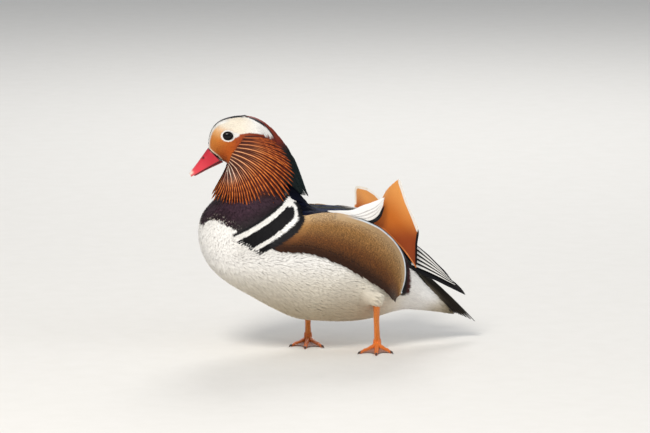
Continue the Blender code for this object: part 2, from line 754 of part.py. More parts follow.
def make_tail():
    """The tail feathers in pairs, each outer pair under the last, from a short bed on the rump."""
    along = (TAIL_TIP - TAIL_ROOT).normalized()
    up = Vector((-along.z, 0.0, along.x)).normalized()

    def round_rump(angle):
        return Vector((0.0, math.sin(angle), 0.0)) + up * math.cos(angle)

    rows, normals = [], []
    for i in range(4):
        angles = [math.radians(-60.0 + 120.0 * j / 8) for j in range(9)]
        rows.append([TAIL_ROOT + along * (2.0 + 6.0 * i) - up * 16.0 + round_rump(a) * 15.5 for a in angles])
        normals.append([round_rump(a) for a in angles])
    pieces = [slab(rows, normals, lambda i, j: (1.2, 2.6))]
    for pair in range(TAIL_PAIRS):
        for side in (LEFT, RIGHT):
            angle = math.radians(10.0 * pair + 5.0) * side
            out = round_rump(angle)
            root = TAIL_ROOT + along * 10.0 - up * (16.0 + 0.2 * pair) + out * 15.8
            end = TAIL_TIP - along * (3.4 * pair) - up * (7.0 + 2.2 * pair) + out * (7.0 + 0.4 * pair)
            pieces.append(feather(root, end, out, 10.0, 0.8, 1.5))
    return pieces


def tube(points, radii, count=10, flat=1.0, cut=0.0):
    """A closed tapered tube through points, flattened sideways by flat, never lower than cut."""
    rings = []
    for i, point in enumerate(points):
        along = (points[min(i + 1, len(points) - 1)] - points[max(i - 1, 0)]).normalized()
        across = along.cross(Vector((0, 0, 1)))
        if across.length < 0.2:
            across = Vector((0, 1, 0))
        across.normalize()
        up = across.cross(along).normalized()
        ring = []
        for k in range(count):
            angle = 2 * math.pi * (k + 0.5) / count
            spot = point + across * (radii[i] * flat * math.cos(angle)) + up * (radii[i] * math.sin(angle))
            if cut is not None:
                spot.z = max(spot.z, cut)
            ring.append(spot)
        rings.append(ring)
    return loft(rings)


def foot_pieces(leg, foot, side):
    """Three webbed toes, the hind toe and the claws of one foot, flat on the floor."""
    ahead = math.radians(180.0 - side * leg["toe_out"])
    pieces = []
    tips = []
    for spread, length in TOES:
        heading = ahead + math.radians(spread) * side
        run = Vector((math.cos(heading), math.sin(heading), 0.0))
        points, radii = [], []
        for s, height, radius in ((0.0, 4.9, 3.2), (0.25, 3.0, 2.7), (0.5, 2.0, 2.4), (0.78, 1.7, 2.0),
                                  (1.0, 1.2, 1.5)):
            spot = foot + run * (length * s)
            spot.z = height
            points.append(spot)
            radii.append(radius)
        pieces.append(tube(points, radii, 8))
        tips.append(points[-1])
        claw = [points[-1] + run * (CLAW * t) + Vector((0, 0, z)) for t, z in ((-0.3, 0.3), (0.4, 0.6), (1.0, -0.9))]
        pieces.append(tube(claw, (1.3, 1.0, 0.35), 6))
    back = -Vector((math.cos(ahead), math.sin(ahead), 0.0))
    start = foot + back * 1.0
    drops = ((0, -2.0), (0.5, -3.5), (1.0, -5.5), (1.4, -7.0))
    hind = [start + back * (HIND_TOE * t) + Vector((0, 0, z)) for t, z in drops]
    pieces.append(tube(hind, (1.8, 1.6, 1.3, 0.5), 6))
    knuckle = [foot + Vector((0, 0, z)) for z in (1.2, -2.5, -6.5, -ANKLE_JOINT_Z)]
    pieces.append(tube(knuckle, (3.9, 4.4, 4.0, 3.3), 10))
    for first, second in zip(tips, tips[1:]):
        pieces.append(web(foot, first, second))
    return pieces


def web(foot, first, second):
    """The skin between two toes, thin, with its front edge drawn in."""
    rows = []
    root = Vector((foot.x, foot.y, 0.0))
    for i in range(4):
        s = 0.12 + 0.84 * i / 3
        a, b = root.lerp(first, s), root.lerp(second, s)
        row = []
        for j in range(5):
            v = j / 4
            spot = a.lerp(b, v)
            pull = 1 - 0.18 * math.sin(math.pi * v) * (i / 3)
            spot = root + (spot - root) * pull
            spot.z = 1.3 + 1.6 * (1 - s)
            row.append(spot)
        rows.append(row)
    normals = [[Vector((0, 0, 1))] * 5 for _ in range(4)]
    return slab(rows, normals, lambda i, j: (0.45, 0.45))


def make_legs(torso):
    """The feathered thighs, the scaled shanks and the webbed feet."""
    for side, name in SIDE_NAMES.items():
        leg = LEGS[side]
        hip, ankle, foot = Vector(leg["hip"]), Vector(leg["ankle"]), Vector((*leg["foot"], ANKLE_JOINT_Z))
        for point in (hip, ankle, foot):
            point.y *= side
        down = (foot - ankle).normalized()
        top = ankle - down * 3.0
        shank = [top.lerp(foot, s) for s in (0.0, 0.1, 0.22, 0.4, 0.7, 0.9, 1.0)]
        radii = (4.3, 4.8, 4.2, 3.4, 3.1, 3.4, 3.7)
        tarsus = new_object(f"tarsus_{name}", *tube(shank, radii, 10, 0.8, None), material("leg", 0.45))
        thigh = [hip.lerp(ankle, s) for s in (0.0, 0.35, 0.7, 1.0)]
        radii = (20.0, 17.0, 11.5, 6.3) if side == LEFT else (17.0, 15.0, 10.5, 6.2)
        fused(f"thigh_{name}", [tube(thigh, radii, 14, cut=None)], material("torso"), [torso, tarsus])
        fused(f"foot_{name}", foot_pieces(leg, foot, side), material("leg", 0.45), [tarsus])


def main():
    nodes = make_trunk()
    nodes["head"] = make_head()
    make_bill()
    fused("crest", make_crest(), material("crest"), [nodes["head"], nodes["neck"], nodes["torso"]])
    for side, name in SIDE_NAMES.items():
        fused(f"ruff_{name}", make_ruff(side), material("ruff"), [nodes["head"], nodes["neck"], nodes["torso"]])
        new_object(f"flank_{name}", *make_flank(side), material("flank"))
        sail = new_object(f"sail_{name}", *make_sail(side), material("sail"))
        fused(f"wing_{name}", make_wing(side) + primaries(side), material("wing"), [nodes["torso"], sail])
    fused("tail", make_tail(), material("tail"), [nodes["torso"]])
    make_legs(nodes["torso"])


clear_scene()
DUCK = bpy.data.collections.new("mandarin_duck")
bpy.context.scene.collection.children.link(DUCK)
SKIN = skin_tree()
main()
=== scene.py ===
"""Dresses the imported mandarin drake: one skin under a coat of small feathers, with vanes, hackles,
sails, bill, eyes, shanks and webbed feet over it. Sizes are in millimetres until a mesh is made."""
import math

import bpy
import numpy as np
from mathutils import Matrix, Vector
from mathutils.bvhtree import BVHTree


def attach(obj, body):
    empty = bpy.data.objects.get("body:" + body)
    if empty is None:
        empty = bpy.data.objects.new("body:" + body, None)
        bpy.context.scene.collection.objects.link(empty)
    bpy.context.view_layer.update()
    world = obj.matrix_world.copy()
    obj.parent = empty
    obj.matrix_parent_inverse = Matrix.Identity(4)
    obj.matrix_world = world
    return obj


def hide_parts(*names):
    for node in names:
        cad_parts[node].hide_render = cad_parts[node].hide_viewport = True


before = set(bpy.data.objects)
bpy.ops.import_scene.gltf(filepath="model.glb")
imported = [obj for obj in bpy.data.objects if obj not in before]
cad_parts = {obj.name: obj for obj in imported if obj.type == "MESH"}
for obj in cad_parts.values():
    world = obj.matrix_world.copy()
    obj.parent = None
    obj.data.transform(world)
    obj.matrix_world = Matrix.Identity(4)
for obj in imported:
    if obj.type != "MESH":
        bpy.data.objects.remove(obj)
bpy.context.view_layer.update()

MM = 0.001
HEAD_TURN = math.radians(-18.0)
NECK_X = -74.7
LEFT, RIGHT = -1, 1
SIDE_NAMES = {LEFT: "left", RIGHT: "right"}

# The trunk, neck and head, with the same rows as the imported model: share of the head's turn, dorsal
# x and z, ventral x and z, half width, how much the upper half is wider, and the roundness power
SECTIONS = np.array([
    (1.00, -63.5, 216.0, -50.0, 203.0, 8.8, 0.00, 2.2),
    (1.00, -63.2, 225.0, -46.5, 201.3, 12.0, 0.00, 2.1),
    (1.00, -59.5, 236.2, -43.5, 199.0, 14.6, 0.00, 2.1),
    (1.00, -52.0, 244.0, -41.0, 195.5, 16.4, 0.00, 2.1),
    (1.00, -41.0, 248.3, -38.5, 191.0, 17.4, 0.00, 2.1),
    (1.00, -29.0, 249.8, -37.0, 186.5, 18.0, 0.00, 2.1),
    (1.00, -18.5, 247.8, -37.5, 182.0, 18.4, 0.00, 2.1),
    (1.00, -9.0, 241.3, -39.5, 177.8, 18.8, 0.00, 2.1),
    (1.00, -2.5, 231.0, -42.5, 173.8, 19.6, 0.00, 2.1),
    (1.00, 1.0, 219.0, -46.0, 170.0, 21.0, 0.00, 2.1),
    (0.90, 4.5, 205.0, -51.0, 166.0, 23.5, 0.00, 2.1),
    (0.75, 10.0, 191.5, -57.0, 161.0, 27.5, 0.00, 2.1),
    (0.50, 18.0, 179.5, -63.5, 155.0, 32.5, 0.00, 2.1),
    (0.25, 27.0, 169.5, -69.8, 148.0, 38.0, 0.00, 2.1),
    (0.00, 34.5, 160.0, -74.2, 139.5, 43.0, 0.02, 2.1),
    (0.00, 41.0, 152.5, -75.8, 127.0, 47.5, 0.04, 2.15),
    (0.00, 47.0, 149.0, -73.8, 112.5, 51.5, 0.06, 2.2),
    (0.00, 53.0, 147.8, -68.0, 98.5, 54.8, 0.08, 2.25),
    (0.00, 59.5, 147.2, -58.0, 85.0, 57.2, 0.10, 2.3),
    (0.00, 66.5, 146.8, -42.0, 72.0, 59.0, 0.12, 2.3),
    (0.00, 74.0, 146.3, -22.0, 60.0, 60.0, 0.14, 2.3),
    (0.00, 82.0, 145.3, 1.0, 46.5, 60.0, 0.17, 2.3),
    (0.00, 91.0, 142.8, 28.0, 33.5, 59.0, 0.21, 2.3),
    (0.00, 101.0, 138.5, 57.0, 29.0, 57.0, 0.25, 2.25),
    (0.00, 112.0, 132.0, 85.0, 27.0, 53.5, 0.26, 2.2),
    (0.00, 124.0, 123.0, 110.0, 28.5, 47.5, 0.24, 2.2),
    (0.00, 137.0, 108.0, 131.0, 33.5, 40.5, 0.20, 2.15),
    (0.00, 150.0, 91.5, 149.0, 36.0, 32.5, 0.15, 2.1),
    (0.00, 162.5, 75.5, 164.5, 34.5, 25.5, 0.10, 2.1),
    (0.00, 175.0, 61.5, 178.5, 32.5, 19.0, 0.05, 2.0),
    (0.00, 186.5, 51.5, 190.5, 30.5, 12.5, 0.00, 2.0),
    (0.00, 196.0, 41.5, 200.0, 28.5, 7.0, 0.00, 2.0),
    (0.00, 203.0, 34.5, 206.0, 27.5, 2.5, 0.00, 2.0),
])
LAST_T = 32.0

BILL = np.array([
    (-63.9, 215.6, -51.0, 203.2, 8.7), (-67.2, 211.0, -56.3, 200.2, 8.5), (-71.0, 205.6, -62.2, 197.0, 8.2),
    (-74.9, 200.2, -68.2, 193.6, 7.8), (-78.6, 195.2, -73.8, 190.2, 7.0), (-81.9, 191.2, -78.4, 187.4, 5.4),
    (-83.6, 188.4, -81.6, 185.4, 2.6),
])
EYE, NOSTRIL = (-42.6, 230.4), (-69.0, 205.4)
CREST_OUTER = np.array([
    (-35.0, 248.8), (-24.0, 250.7), (-14.0, 249.0), (-4.0, 243.8), (5.5, 234.8), (12.0, 226.2),
    (19.5, 215.8), (25.2, 205.2), (30.9, 193.0), (36.5, 179.2), (42.5, 164.0),
])
CREST_INNER = np.array([
    (-35.0, 245.5), (-22.0, 246.0), (-12.0, 241.5), (-5.5, 233.5), (-1.5, 225.0), (1.5, 215.5),
    (5.0, 204.0), (9.5, 194.0), (15.5, 184.5), (23.5, 174.0), (33.0, 162.5),
])
RUFF_CENTRE = (-36.0, 206.0)
RUFF = np.array([
    (26.0, 44.0, 17.0), (0.0, 57.0, 20.0), (-24.0, 69.0, 24.0), (-40.0, 67.0, 31.0), (-58.0, 57.0, 39.0),
    (-73.0, 51.0, 41.0), (-91.0, 47.0, 36.0), (-108.0, 47.0, 25.0), (-122.0, 51.0, 13.0),
])
FLANK_TOP = np.array([
    (-66.0, 146.0), (-44.0, 145.5), (-22.0, 144.5), (-5.0, 142.5), (12.8, 137.5), (22.5, 133.5), (33.6, 127.5),
    (43.2, 119.7), (50.1, 112.3), (55.6, 104.0), (58.6, 96.0), (60.0, 86.4), (60.0, 74.4), (57.5, 63.5),
])
FLANK_LOW = np.array([
    (-92.0, 121.0), (-76.0, 116.5), (-58.0, 115.7), (-40.0, 111.0), (-17.3, 102.0), (2.9, 90.6), (23.2, 77.9),
    (36.7, 69.4), (51.0, 56.5),
])
FLANK_DEPTH = 4.2
SAIL_BASE = np.array([
    (30.0, 135.5), (38.4, 130.6), (48.0, 122.8), (59.0, 111.0), (69.4, 98.0), (78.3, 85.0),
])
SAIL_OUTER = {
    LEFT: np.array([
        (30.0, 139.0), (34.5, 150.0), (39.0, 162.0), (43.5, 171.0), (49.5, 177.0), (56.5, 181.5),
        (60.5, 171.5), (65.5, 157.5), (73.0, 141.5), (79.6, 126.0), (78.6, 110.0), (79.2, 89.0),
    ]),
    RIGHT: np.array([
        (31.0, 139.0), (34.0, 146.0), (36.5, 151.5), (38.5, 156.0), (41.0, 159.0), (45.5, 160.0),
        (56.0, 157.0), (65.0, 151.0), (72.0, 143.0), (77.5, 130.0), (79.0, 111.0), (79.2, 89.0),
    ]),
}
SAIL_LEAN = {LEFT: 0.155, RIGHT: 0.85}
SAIL_LEAST_Y = 31.0
WING_DEPTH = 2.6
PRIMARY_TIP = np.array((139.0, 15.0, 50.0))
TAIL_ROOT = np.array((86.0, 0.0, 85.0))
TAIL_TIP = np.array((155.5, 0.0, 18.5))
LEGS = {
    LEFT: {"hip": (14.0, 34.0, 74.0), "ankle": (28.5, 46.0, 53.5), "foot": (36.5, 27.0), "toe_out": 70.0},
    RIGHT: {"hip": (-18.0, 31.0, 62.0), "ankle": (-20.0, 37.0, 34.0), "foot": (-21.0, 33.0), "toe_out": -68.0},
}
THIGH_RADII = {LEFT: (20.0, 17.0, 11.5, 6.3), RIGHT: (17.0, 15.0, 10.5, 6.2)}
ANKLE_JOINT_Z = 9.0
TOES = ((28.0, 37.0), (0.0, 42.0), (-28.0, 33.0))


def rgb(code):
    """A linear colour from a six-figure sRGB code."""
    raw = np.array([int(code[i:i + 2], 16) / 255.0 for i in (0, 2, 4)])
    return np.where(raw <= 0.04045, raw / 12.92, ((raw + 0.055) / 1.055) ** 2.4)


# The two belly colours are painted shade on the white belly: a light shade, and a deeper one warmed by bounced light
# low down
WHITE, CREAM, BELLY_SOFT_SHADE, BELLY_BOUNCE_SHADE = rgb("f8f5f0"), rgb("f4ead8"), rgb("ebe4d6"), rgb("b8a583")
GOLD, CHEEK, MAROON = rgb("e08f3e"), rgb("c25c1a"), rgb("7a2a18")
BLACK, GREENBLACK, PURPLE = rgb("0e0c10"), rgb("0a1718"), rgb("3d2733")
BUFF, TAN, BROWN, DARK = rgb("c9a679"), rgb("a0733f"), rgb("70421a"), rgb("361a08")
BRONZE, TAIL_BROWN = rgb("3d352a"), rgb("2b231d")


def curve(points, t):
    """Smooth curves through the rows of points, at each t from 0 to the last row's number."""
    points, t = np.asarray(points, float), np.asarray(t, float)
    last = len(points) - 1
    i = np.clip(t.astype(int), 0, last - 1)
    u = (t - i)[..., None]
    a, b = points[np.maximum(i - 1, 0)], points[i]
    c, d = points[i + 1], points[np.minimum(i + 2, last)]
    return 0.5 * (2 * b + (c - a) * u + (2 * a - 5 * b + 4 * c - d) * u**2 + (3 * b - a - 3 * c + d) * u**3)


def by_length(points, share):
    """The curve's points at each share, 0 to 1, of its length in the first two columns."""
    steps = np.linalg.norm(np.diff(points[:, :2], axis=0), axis=1)
    run = np.concatenate([[0.0], np.cumsum(steps)])
    return curve(points, np.interp(np.asarray(share) * run[-1], run, np.arange(len(points))))


def turned(hx, hy, z, turn=1.0):
    """Points given in the head's plane from the neck axis, turned with the head."""
    hx, hy, z, turn = np.broadcast_arrays(*(np.asarray(v, float) for v in (hx, hy, z, turn)))
    sine, cosine = np.sin(HEAD_TURN * turn), np.cos(HEAD_TURN * turn)
    return np.stack([NECK_X + hx * cosine - hy * sine, hx * sine + hy * cosine, z], -1)


def head_frame(p):
    """The head-plane place of points: along, sideways and height."""
    x, y = p[..., 0] - NECK_X, p[..., 1]
    sine, cosine = math.sin(HEAD_TURN), math.cos(HEAD_TURN)
    return x * cosine + y * sine, -x * sine + y * cosine, p[..., 2]


def unit(v):
    return v / np.maximum(np.linalg.norm(v, axis=-1, keepdims=True), 1e-9)


def mix(a, b, f):
    return a + (b - a) * np.asarray(f)[..., None]


def step(value, low, high):
    """A smooth step from 0 at low to 1 at high."""
    f = np.clip((np.asarray(value, float) - low) / (high - low), 0.0, 1.0)
    return f * f * (3 - 2 * f)


def body_point(t, angle):
    """Points of the trunk, neck and head at section numbers t and angles round them."""
    turn, top_x, top_z, low_x, low_z, half, wider, power = np.moveaxis(curve(SECTIONS, t), -1, 0)
    sine, cosine = np.sin(angle), np.cos(angle)
    rise = np.sign(sine) * np.abs(sine) ** (2 / power)
    side = half * np.sign(cosine) * np.abs(cosine) ** (2 / power) * (1 + wider * rise)
    return turned((top_x + low_x) / 2 + (top_x - low_x) / 2 * rise, side,
                  (top_z + low_z) / 2 + (top_z - low_z) / 2 * rise, turn)


T_ROWS, A_COUNT = 289, 240
T_STEP = LAST_T / (T_ROWS - 1)
T_GRID, A_GRID = np.meshgrid(np.linspace(0, LAST_T, T_ROWS), 2 * math.pi * np.arange(A_COUNT) / A_COUNT, indexing="ij")


def grid_slopes(table):
    """How a wrapped grid changes for each unit of t and of angle."""
    along = np.gradient(table, T_STEP, axis=0)
    wrap = np.concatenate([table[:, -1:], table, table[:, :1]], axis=1)
    around = (wrap[:, 2:] - wrap[:, :-2]) / (4 * math.pi / A_COUNT)
    return along, around


def blurred(table, times):
    for _ in range(times):
        table = (np.roll(table, 1, 1) + 2 * table + np.roll(table, -1, 1)) / 4
        padded = np.concatenate([table[:1], table, table[-1:]])
        table = (padded[:-2] + 2 * table + padded[2:]) / 4
    return table


def normals_of(points):
    along, around = grid_slopes(points)
    out = unit(np.cross(around, along))
    centre = points.mean(axis=1, keepdims=True)
    flip = np.sign((out * (points - centre)).sum(-1, keepdims=True))
    return out * np.where(flip == 0, 1, flip)


def thigh_bulge(points, normals):
    """How far the thighs push the surface outwards."""
    grown = np.zeros(points.shape[:2])
    for side in (LEFT, RIGHT):
        hip, ankle = (np.array(LEGS[side][k]) * (1, side, 1) for k in ("hip", "ankle"))
        run = ankle - hip
        for reach in np.arange(0.5, 18.0, 0.5):
            spot = points + normals * reach - hip
            share = np.clip((spot @ run) / (run @ run), 0, 1)
            radius = np.interp(share, (0, 0.35, 0.7, 1.0), THIGH_RADII[side])
            inside = np.linalg.norm(spot - share[..., None] * run, axis=-1) < radius
            grown = np.where(inside, np.maximum(grown, reach), grown)
    return blurred(grown, 6)


BASE = body_point(T_GRID, A_GRID)
BASE_NORMALS = normals_of(BASE)
COAT = BASE + BASE_NORMALS * thigh_bulge(BASE, BASE_NORMALS)[..., None]
NORMALS = normals_of(COAT)
ALONG, AROUND = grid_slopes(COAT)
CELLS = np.linalg.norm(np.cross(ALONG, AROUND), axis=-1) * T_STEP * (2 * math.pi / A_COUNT)


def between(table, i, j, k, f, g):
    """A grid's values between rows i and i + 1 and columns j and k, at shares f and g of the way."""
    return (table[i, j] * (1 - f) + table[i + 1, j] * f) * (1 - g) + (table[i, k] * (1 - f) + table[i + 1, k] * f) * g


def at(table, t, angle):
    """A wrapped grid's values between its points."""
    row = np.clip(np.asarray(t) / T_STEP, 0, T_ROWS - 1.001)
    column = (np.asarray(angle) / (2 * math.pi) * A_COUNT) % A_COUNT
    i, j = row.astype(int), column.astype(int) % A_COUNT
    f, g = row - i, column - column.astype(int)
    if table.ndim == 3:
        f, g = f[..., None], g[..., None]
    return between(table, i, j, (j + 1) % A_COUNT, f, g)


def grid_faces(rows, columns, wrap):
    """The four-cornered faces of a grid of points, closed round its rows where it wraps."""
    i, j = np.meshgrid(np.arange(rows - 1), np.arange(columns if wrap else columns - 1), indexing="ij")
    k, row, after = (j + 1) % columns, i * columns, (i + 1) * columns
    return np.stack([row + j, row + k, after + k, after + j], -1).reshape(-1, 4)


def sheet_faces(high, wide):
    """Faces of a thin sheet from its upper grid, its under grid and the rim between them."""
    face, shift = grid_faces(high, wide, False), high * wide
    rim = list(range(wide)) + [i * wide + wide - 1 for i in range(1, high)]
    rim += [(high - 1) * wide + j for j in range(wide - 2, -1, -1)] + [i * wide for i in range(high - 2, 0, -1)]
    rim, after = np.array(rim), np.roll(rim, -1)
    return np.concatenate([face[:, ::-1], face + shift, np.stack([rim, after, after + shift, rim + shift], -1)])


def tube_faces(rows, count):
    """Faces round rows of points, and a fan at each end to the two poles that follow them."""
    parts = [grid_faces(rows, count, True)]
    for pole, end in ((rows * count, 0), (rows * count + 1, rows - 1)):
        ring = end * count + np.arange(count)
        after = np.roll(ring, -1)
        fan = (after, ring, ring) if end == 0 else (ring, after, after)
        parts.append(np.stack([np.full(count, pole), *fan], -1))
    return np.concatenate(parts)


def with_ends(values):
    """Rows of values, then the first and the last again for a tube's two poles."""
    return np.concatenate([values, values[:1], values[-1:]])


SKIN_TREE = BVHTree.FromPolygons(COAT.reshape(-1, 3).tolist(), grid_faces(T_ROWS, A_COUNT, True).tolist())


def cast(origin, direction):
    """Where a ray meets the coat's surface, as t and angle, or None."""
    place, _, index, _ = SKIN_TREE.ray_cast(Vector(origin), Vector(direction).normalized(), 300.0)
    if place is None:
        return None
    i, j = divmod(index, A_COUNT)
    corner, one, two = COAT[i, j], ALONG[i, j] * T_STEP, AROUND[i, j] * 2 * math.pi / A_COUNT
    away = np.array(place) - corner
    frame_2 = np.array([[one @ one, one @ two], [one @ two, two @ two]])
    f, g = np.clip(np.linalg.solve(frame_2 + np.eye(2) * 1e-9, np.array([one @ away, two @ away])), 0, 1)
    return (i + f) * T_STEP, (j + g) * 2 * math.pi / A_COUNT


def side_place(x, z, side):
    """The t and angle of the surface as seen from the side at x and z."""
    found = cast((x, side * 150.0, z), (0, -side, 0))
    return found if found else (np.nan, np.nan)


def axis_z(x):
    return float(np.interp(x, (-60.0, 0.0, 60.0, 100.0), (100.0, 92.0, 70.0, 48.0)))


def round_place(x, angle, side):
    """The t and angle of the surface at x and at a height angle, in degrees, round the trunk's axis."""
    out = np.array((0.0, side * math.cos(math.radians(angle)), math.sin(math.radians(angle))))
    found = cast(np.array((x, 0.0, axis_z(x))) + out * 150.0, -out)
    return found if found else (np.nan, np.nan)


# Materials: noise sizes for each metre, relief in metres, and the darkest and lightest of barbs and bars

FINE_NOISE, BROAD_NOISE, WOBBLE_NOISE, NOISE_ROUGHNESS = 1500.0, 140.0, 420.0, 0.55
FEATHER_RELIEF, HORN_RELIEF = 0.0004, 0.0003
BARB_SHADES, BAR_SHADES = (0.87, 1.0), (0.60, 1.25)


def new_material(name):
    """A material, its nodes and links, and its surface node."""
    made = bpy.data.materials.new(name)
    made.use_nodes = True
    return made, made.node_tree.nodes, made.node_tree.links, made.node_tree.nodes["Principled BSDF"]


def noise_node(nodes, links, scale, detail=3.0):
    """The output of a noise that is laid out over the object."""
    place = nodes.new("ShaderNodeTexCoord")
    made = nodes.new("ShaderNodeTexNoise")
    for socket, value in (("Scale", scale), ("Detail", detail), ("Roughness", NOISE_ROUGHNESS)):
        made.inputs[socket].default_value = value
    links.new(place.outputs["Object"], made.inputs["Vector"])
    return made.outputs["Fac"]


def ranged(nodes, links, source, low, high):
    made = nodes.new("ShaderNodeMapRange")
    made.inputs["To Min"].default_value = low
    made.inputs["To Max"].default_value = high
    links.new(source, made.inputs["Value"])
    return made.outputs["Result"]


def maths(nodes, links, kind, first, second=None):
    made = nodes.new("ShaderNodeMath")
    made.operation = kind
    for socket, value in zip(made.inputs, (first, second)):
        if value is None:
            continue
        if isinstance(value, (int, float)):
            socket.default_value = value
        else:
            links.new(value, socket)
    return made.outputs[0]


def join_surface(nodes, links, surface, value, roughness, height, bump, depth):
    """Joins the painted colour times value, the roughness and the relief to the surface."""
    colour = nodes.new("ShaderNodeAttribute")
    colour.attribute_name = "Col"
    shade = nodes.new("ShaderNodeHueSaturation")
    links.new(colour.outputs["Color"], shade.inputs["Color"])
    links.new(value, shade.inputs["Value"])
    links.new(shade.outputs["Color"], surface.inputs["Base Color"])
    links.new(roughness, surface.inputs["Roughness"])
    relief = nodes.new("ShaderNodeBump")
    relief.inputs["Strength"].default_value = bump
    relief.inputs["Distance"].default_value = depth
    links.new(height, relief.inputs["Height"])
    links.new(relief.outputs["Normal"], surface.inputs["Normal"])


def feather_material(name, roughness=0.6, sheen=0.06, barbs=0.0, slant=2.2, bump=0.3, bars=0.0, spread=0.22,
                     gloss=0.22):
    """Feather vanes: painted colour broken up by noise, barb lines from the shaft, and fine cross bars."""
    made, nodes, links, surface = new_material(name)

    def calc(kind, first, second=None):
        return maths(nodes, links, kind, first, second)

    def fitted(source, low, high):
        return ranged(nodes, links, source, low, high)

    fine, broad = noise_node(nodes, links, FINE_NOISE, 4.0), noise_node(nodes, links, BROAD_NOISE, 2.0)
    value = calc("ADD", fitted(fine, 1 - spread, 1 + spread), fitted(broad, -spread / 2, spread / 2))
    height = fine
    if barbs or bars:
        lines = nodes.new("ShaderNodeUVMap")
        lines.uv_map = "Vane"
        parts = nodes.new("ShaderNodeSeparateXYZ")
        links.new(lines.outputs["UV"], parts.inputs["Vector"])
        away = calc("ABSOLUTE", calc("SUBTRACT", parts.outputs["X"], 0.5))
        wobble = fitted(noise_node(nodes, links, WOBBLE_NOISE, 2.0), -0.6, 0.6)

    def wave(number, tilt):
        phase = calc("ADD", calc("MULTIPLY", parts.outputs["Y"], number), calc("MULTIPLY", away, tilt))
        return calc("SINE", calc("MULTIPLY", calc("ADD", phase, wobble), 6.283))

    if barbs:
        barb = wave(barbs, -barbs * slant * 0.02)
        value = calc("MULTIPLY", value, fitted(barb, *BARB_SHADES))
        height = calc("ADD", calc("MULTIPLY", barb, 0.35), height)
    if bars:
        value = calc("MULTIPLY", value, fitted(wave(bars, -1.0), *BAR_SHADES))
    join_surface(nodes, links, surface, value, fitted(broad, roughness - 0.12, roughness + 0.12), height, bump,
                 FEATHER_RELIEF)
    surface.inputs["Sheen Weight"].default_value = sheen
    surface.inputs["Sheen Roughness"].default_value = 0.4
    surface.inputs["Specular IOR Level"].default_value = gloss
    return made


def horn_material(name, roughness, scale, bump, ridges=False, coat=0.0, spread=0.10):
    """Bill, shank, web and claw: painted colour with pores or scales."""
    made, nodes, links, surface = new_material(name)
    fine = noise_node(nodes, links, scale * 1.7, 4.0)
    height, value = fine, ranged(nodes, links, fine, 1 - spread, 1 + spread)
    if ridges:
        place = nodes.new("ShaderNodeTexCoord")
        cells = nodes.new("ShaderNodeTexVoronoi")
        cells.feature = "DISTANCE_TO_EDGE"
        cells.inputs["Scale"].default_value = scale
        links.new(place.outputs["Object"], cells.inputs["Vector"])
        groove = nodes.new("ShaderNodeMapRange")
        groove.inputs["From Max"].default_value = 0.16
        links.new(cells.outputs["Distance"], groove.inputs["Value"])
        groove = groove.outputs["Result"]
        height = maths(nodes, links, "ADD", groove, maths(nodes, links, "MULTIPLY", height, 0.3))
        value = maths(nodes, links, "MULTIPLY", value, ranged(nodes, links, groove, 0.72, 1.0))
    join_surface(nodes, links, surface, value, ranged(nodes, links, fine, roughness - 0.08, roughness + 0.10),
                 height, bump, HORN_RELIEF)
    surface.inputs["Coat Weight"].default_value = coat
    surface.inputs["Coat Roughness"].default_value = 0.25
    return made


# Meshes

def placed(name, data):
    """A new object in the scene."""
    made = bpy.data.objects.new(name, data)
    bpy.context.scene.collection.objects.link(made)
    return made


def finished(name, mesh, colours, look, maps, corners):
    """A mesh's object, smooth, painted and mapped; maps gives a UV place for each point."""
    mesh.polygons.foreach_set("use_smooth", np.ones(len(mesh.polygons), bool))
    paints = mesh.color_attributes.new("Col", "FLOAT_COLOR", "POINT")
    full = np.ones((len(mesh.vertices), 4), np.float32)
    full[:, :3] = np.clip(np.asarray(colours).reshape(-1, 3), 0, 1)
    paints.data.foreach_set("color", full.ravel())
    for label, places in maps.items():
        layer = mesh.uv_layers.new(name=label)
        layer.data.foreach_set("uv", np.asarray(places, np.float32).reshape(-1, 2)[corners].ravel())
    mesh.materials.append(look)
    return placed(name, mesh)


def add_mesh(name, points, faces, colours, look, maps):
    """A mesh object from arrays in millimetres."""
    points, faces = np.asarray(points, np.float32).reshape(-1, 3) * MM, np.asarray(faces, np.int32)
    mesh = bpy.data.meshes.new(name)
    size = faces.shape[1]
    mesh.vertices.add(len(points))
    mesh.vertices.foreach_set("co", points.ravel())
    mesh.loops.add(faces.size)
    mesh.loops.foreach_set("vertex_index", faces.ravel())
    mesh.polygons.add(len(faces))
    mesh.polygons.foreach_set("loop_start", np.arange(0, faces.size, size, dtype=np.int32))
    mesh.polygons.foreach_set("loop_total", np.full(len(faces), size, np.int32))
    mesh.update(calc_edges=True)
    return finished(name, mesh, colours, look, maps, faces.ravel())


def dress(piece, slot, *nodes):
    """Gives a piece its body and hides the CAD nodes that it replaces; slot is not used."""
    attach(piece, "root")
    if nodes:
        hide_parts(*nodes)
    return piece


def bake_place(t, angle):
    """Where a root lies on the unwrap of the skin."""
    return np.stack([0.01 + 0.98 * (np.asarray(angle) / (2 * math.pi) % 1.0), 0.01 + 0.98 * np.asarray(t) / LAST_T], -1)


def back_place(t, side, away):
    """The bake place of one vane's root at section t and at an angle away from the back's middle line."""
    return bake_place(np.full(1, t), np.full(1, math.pi / 2 - side * away))


# The size of a vane's patch on the bake map, its UV length for each millimetre, how much darker its
# underside is, and the most triangles in one mesh
# The underside's darkening is painted shade
PATCH, VANE_SCALE, UNDERSIDE_SHADE, MOST_TRIANGLES = 0.003, 0.01, 0.8, 190000


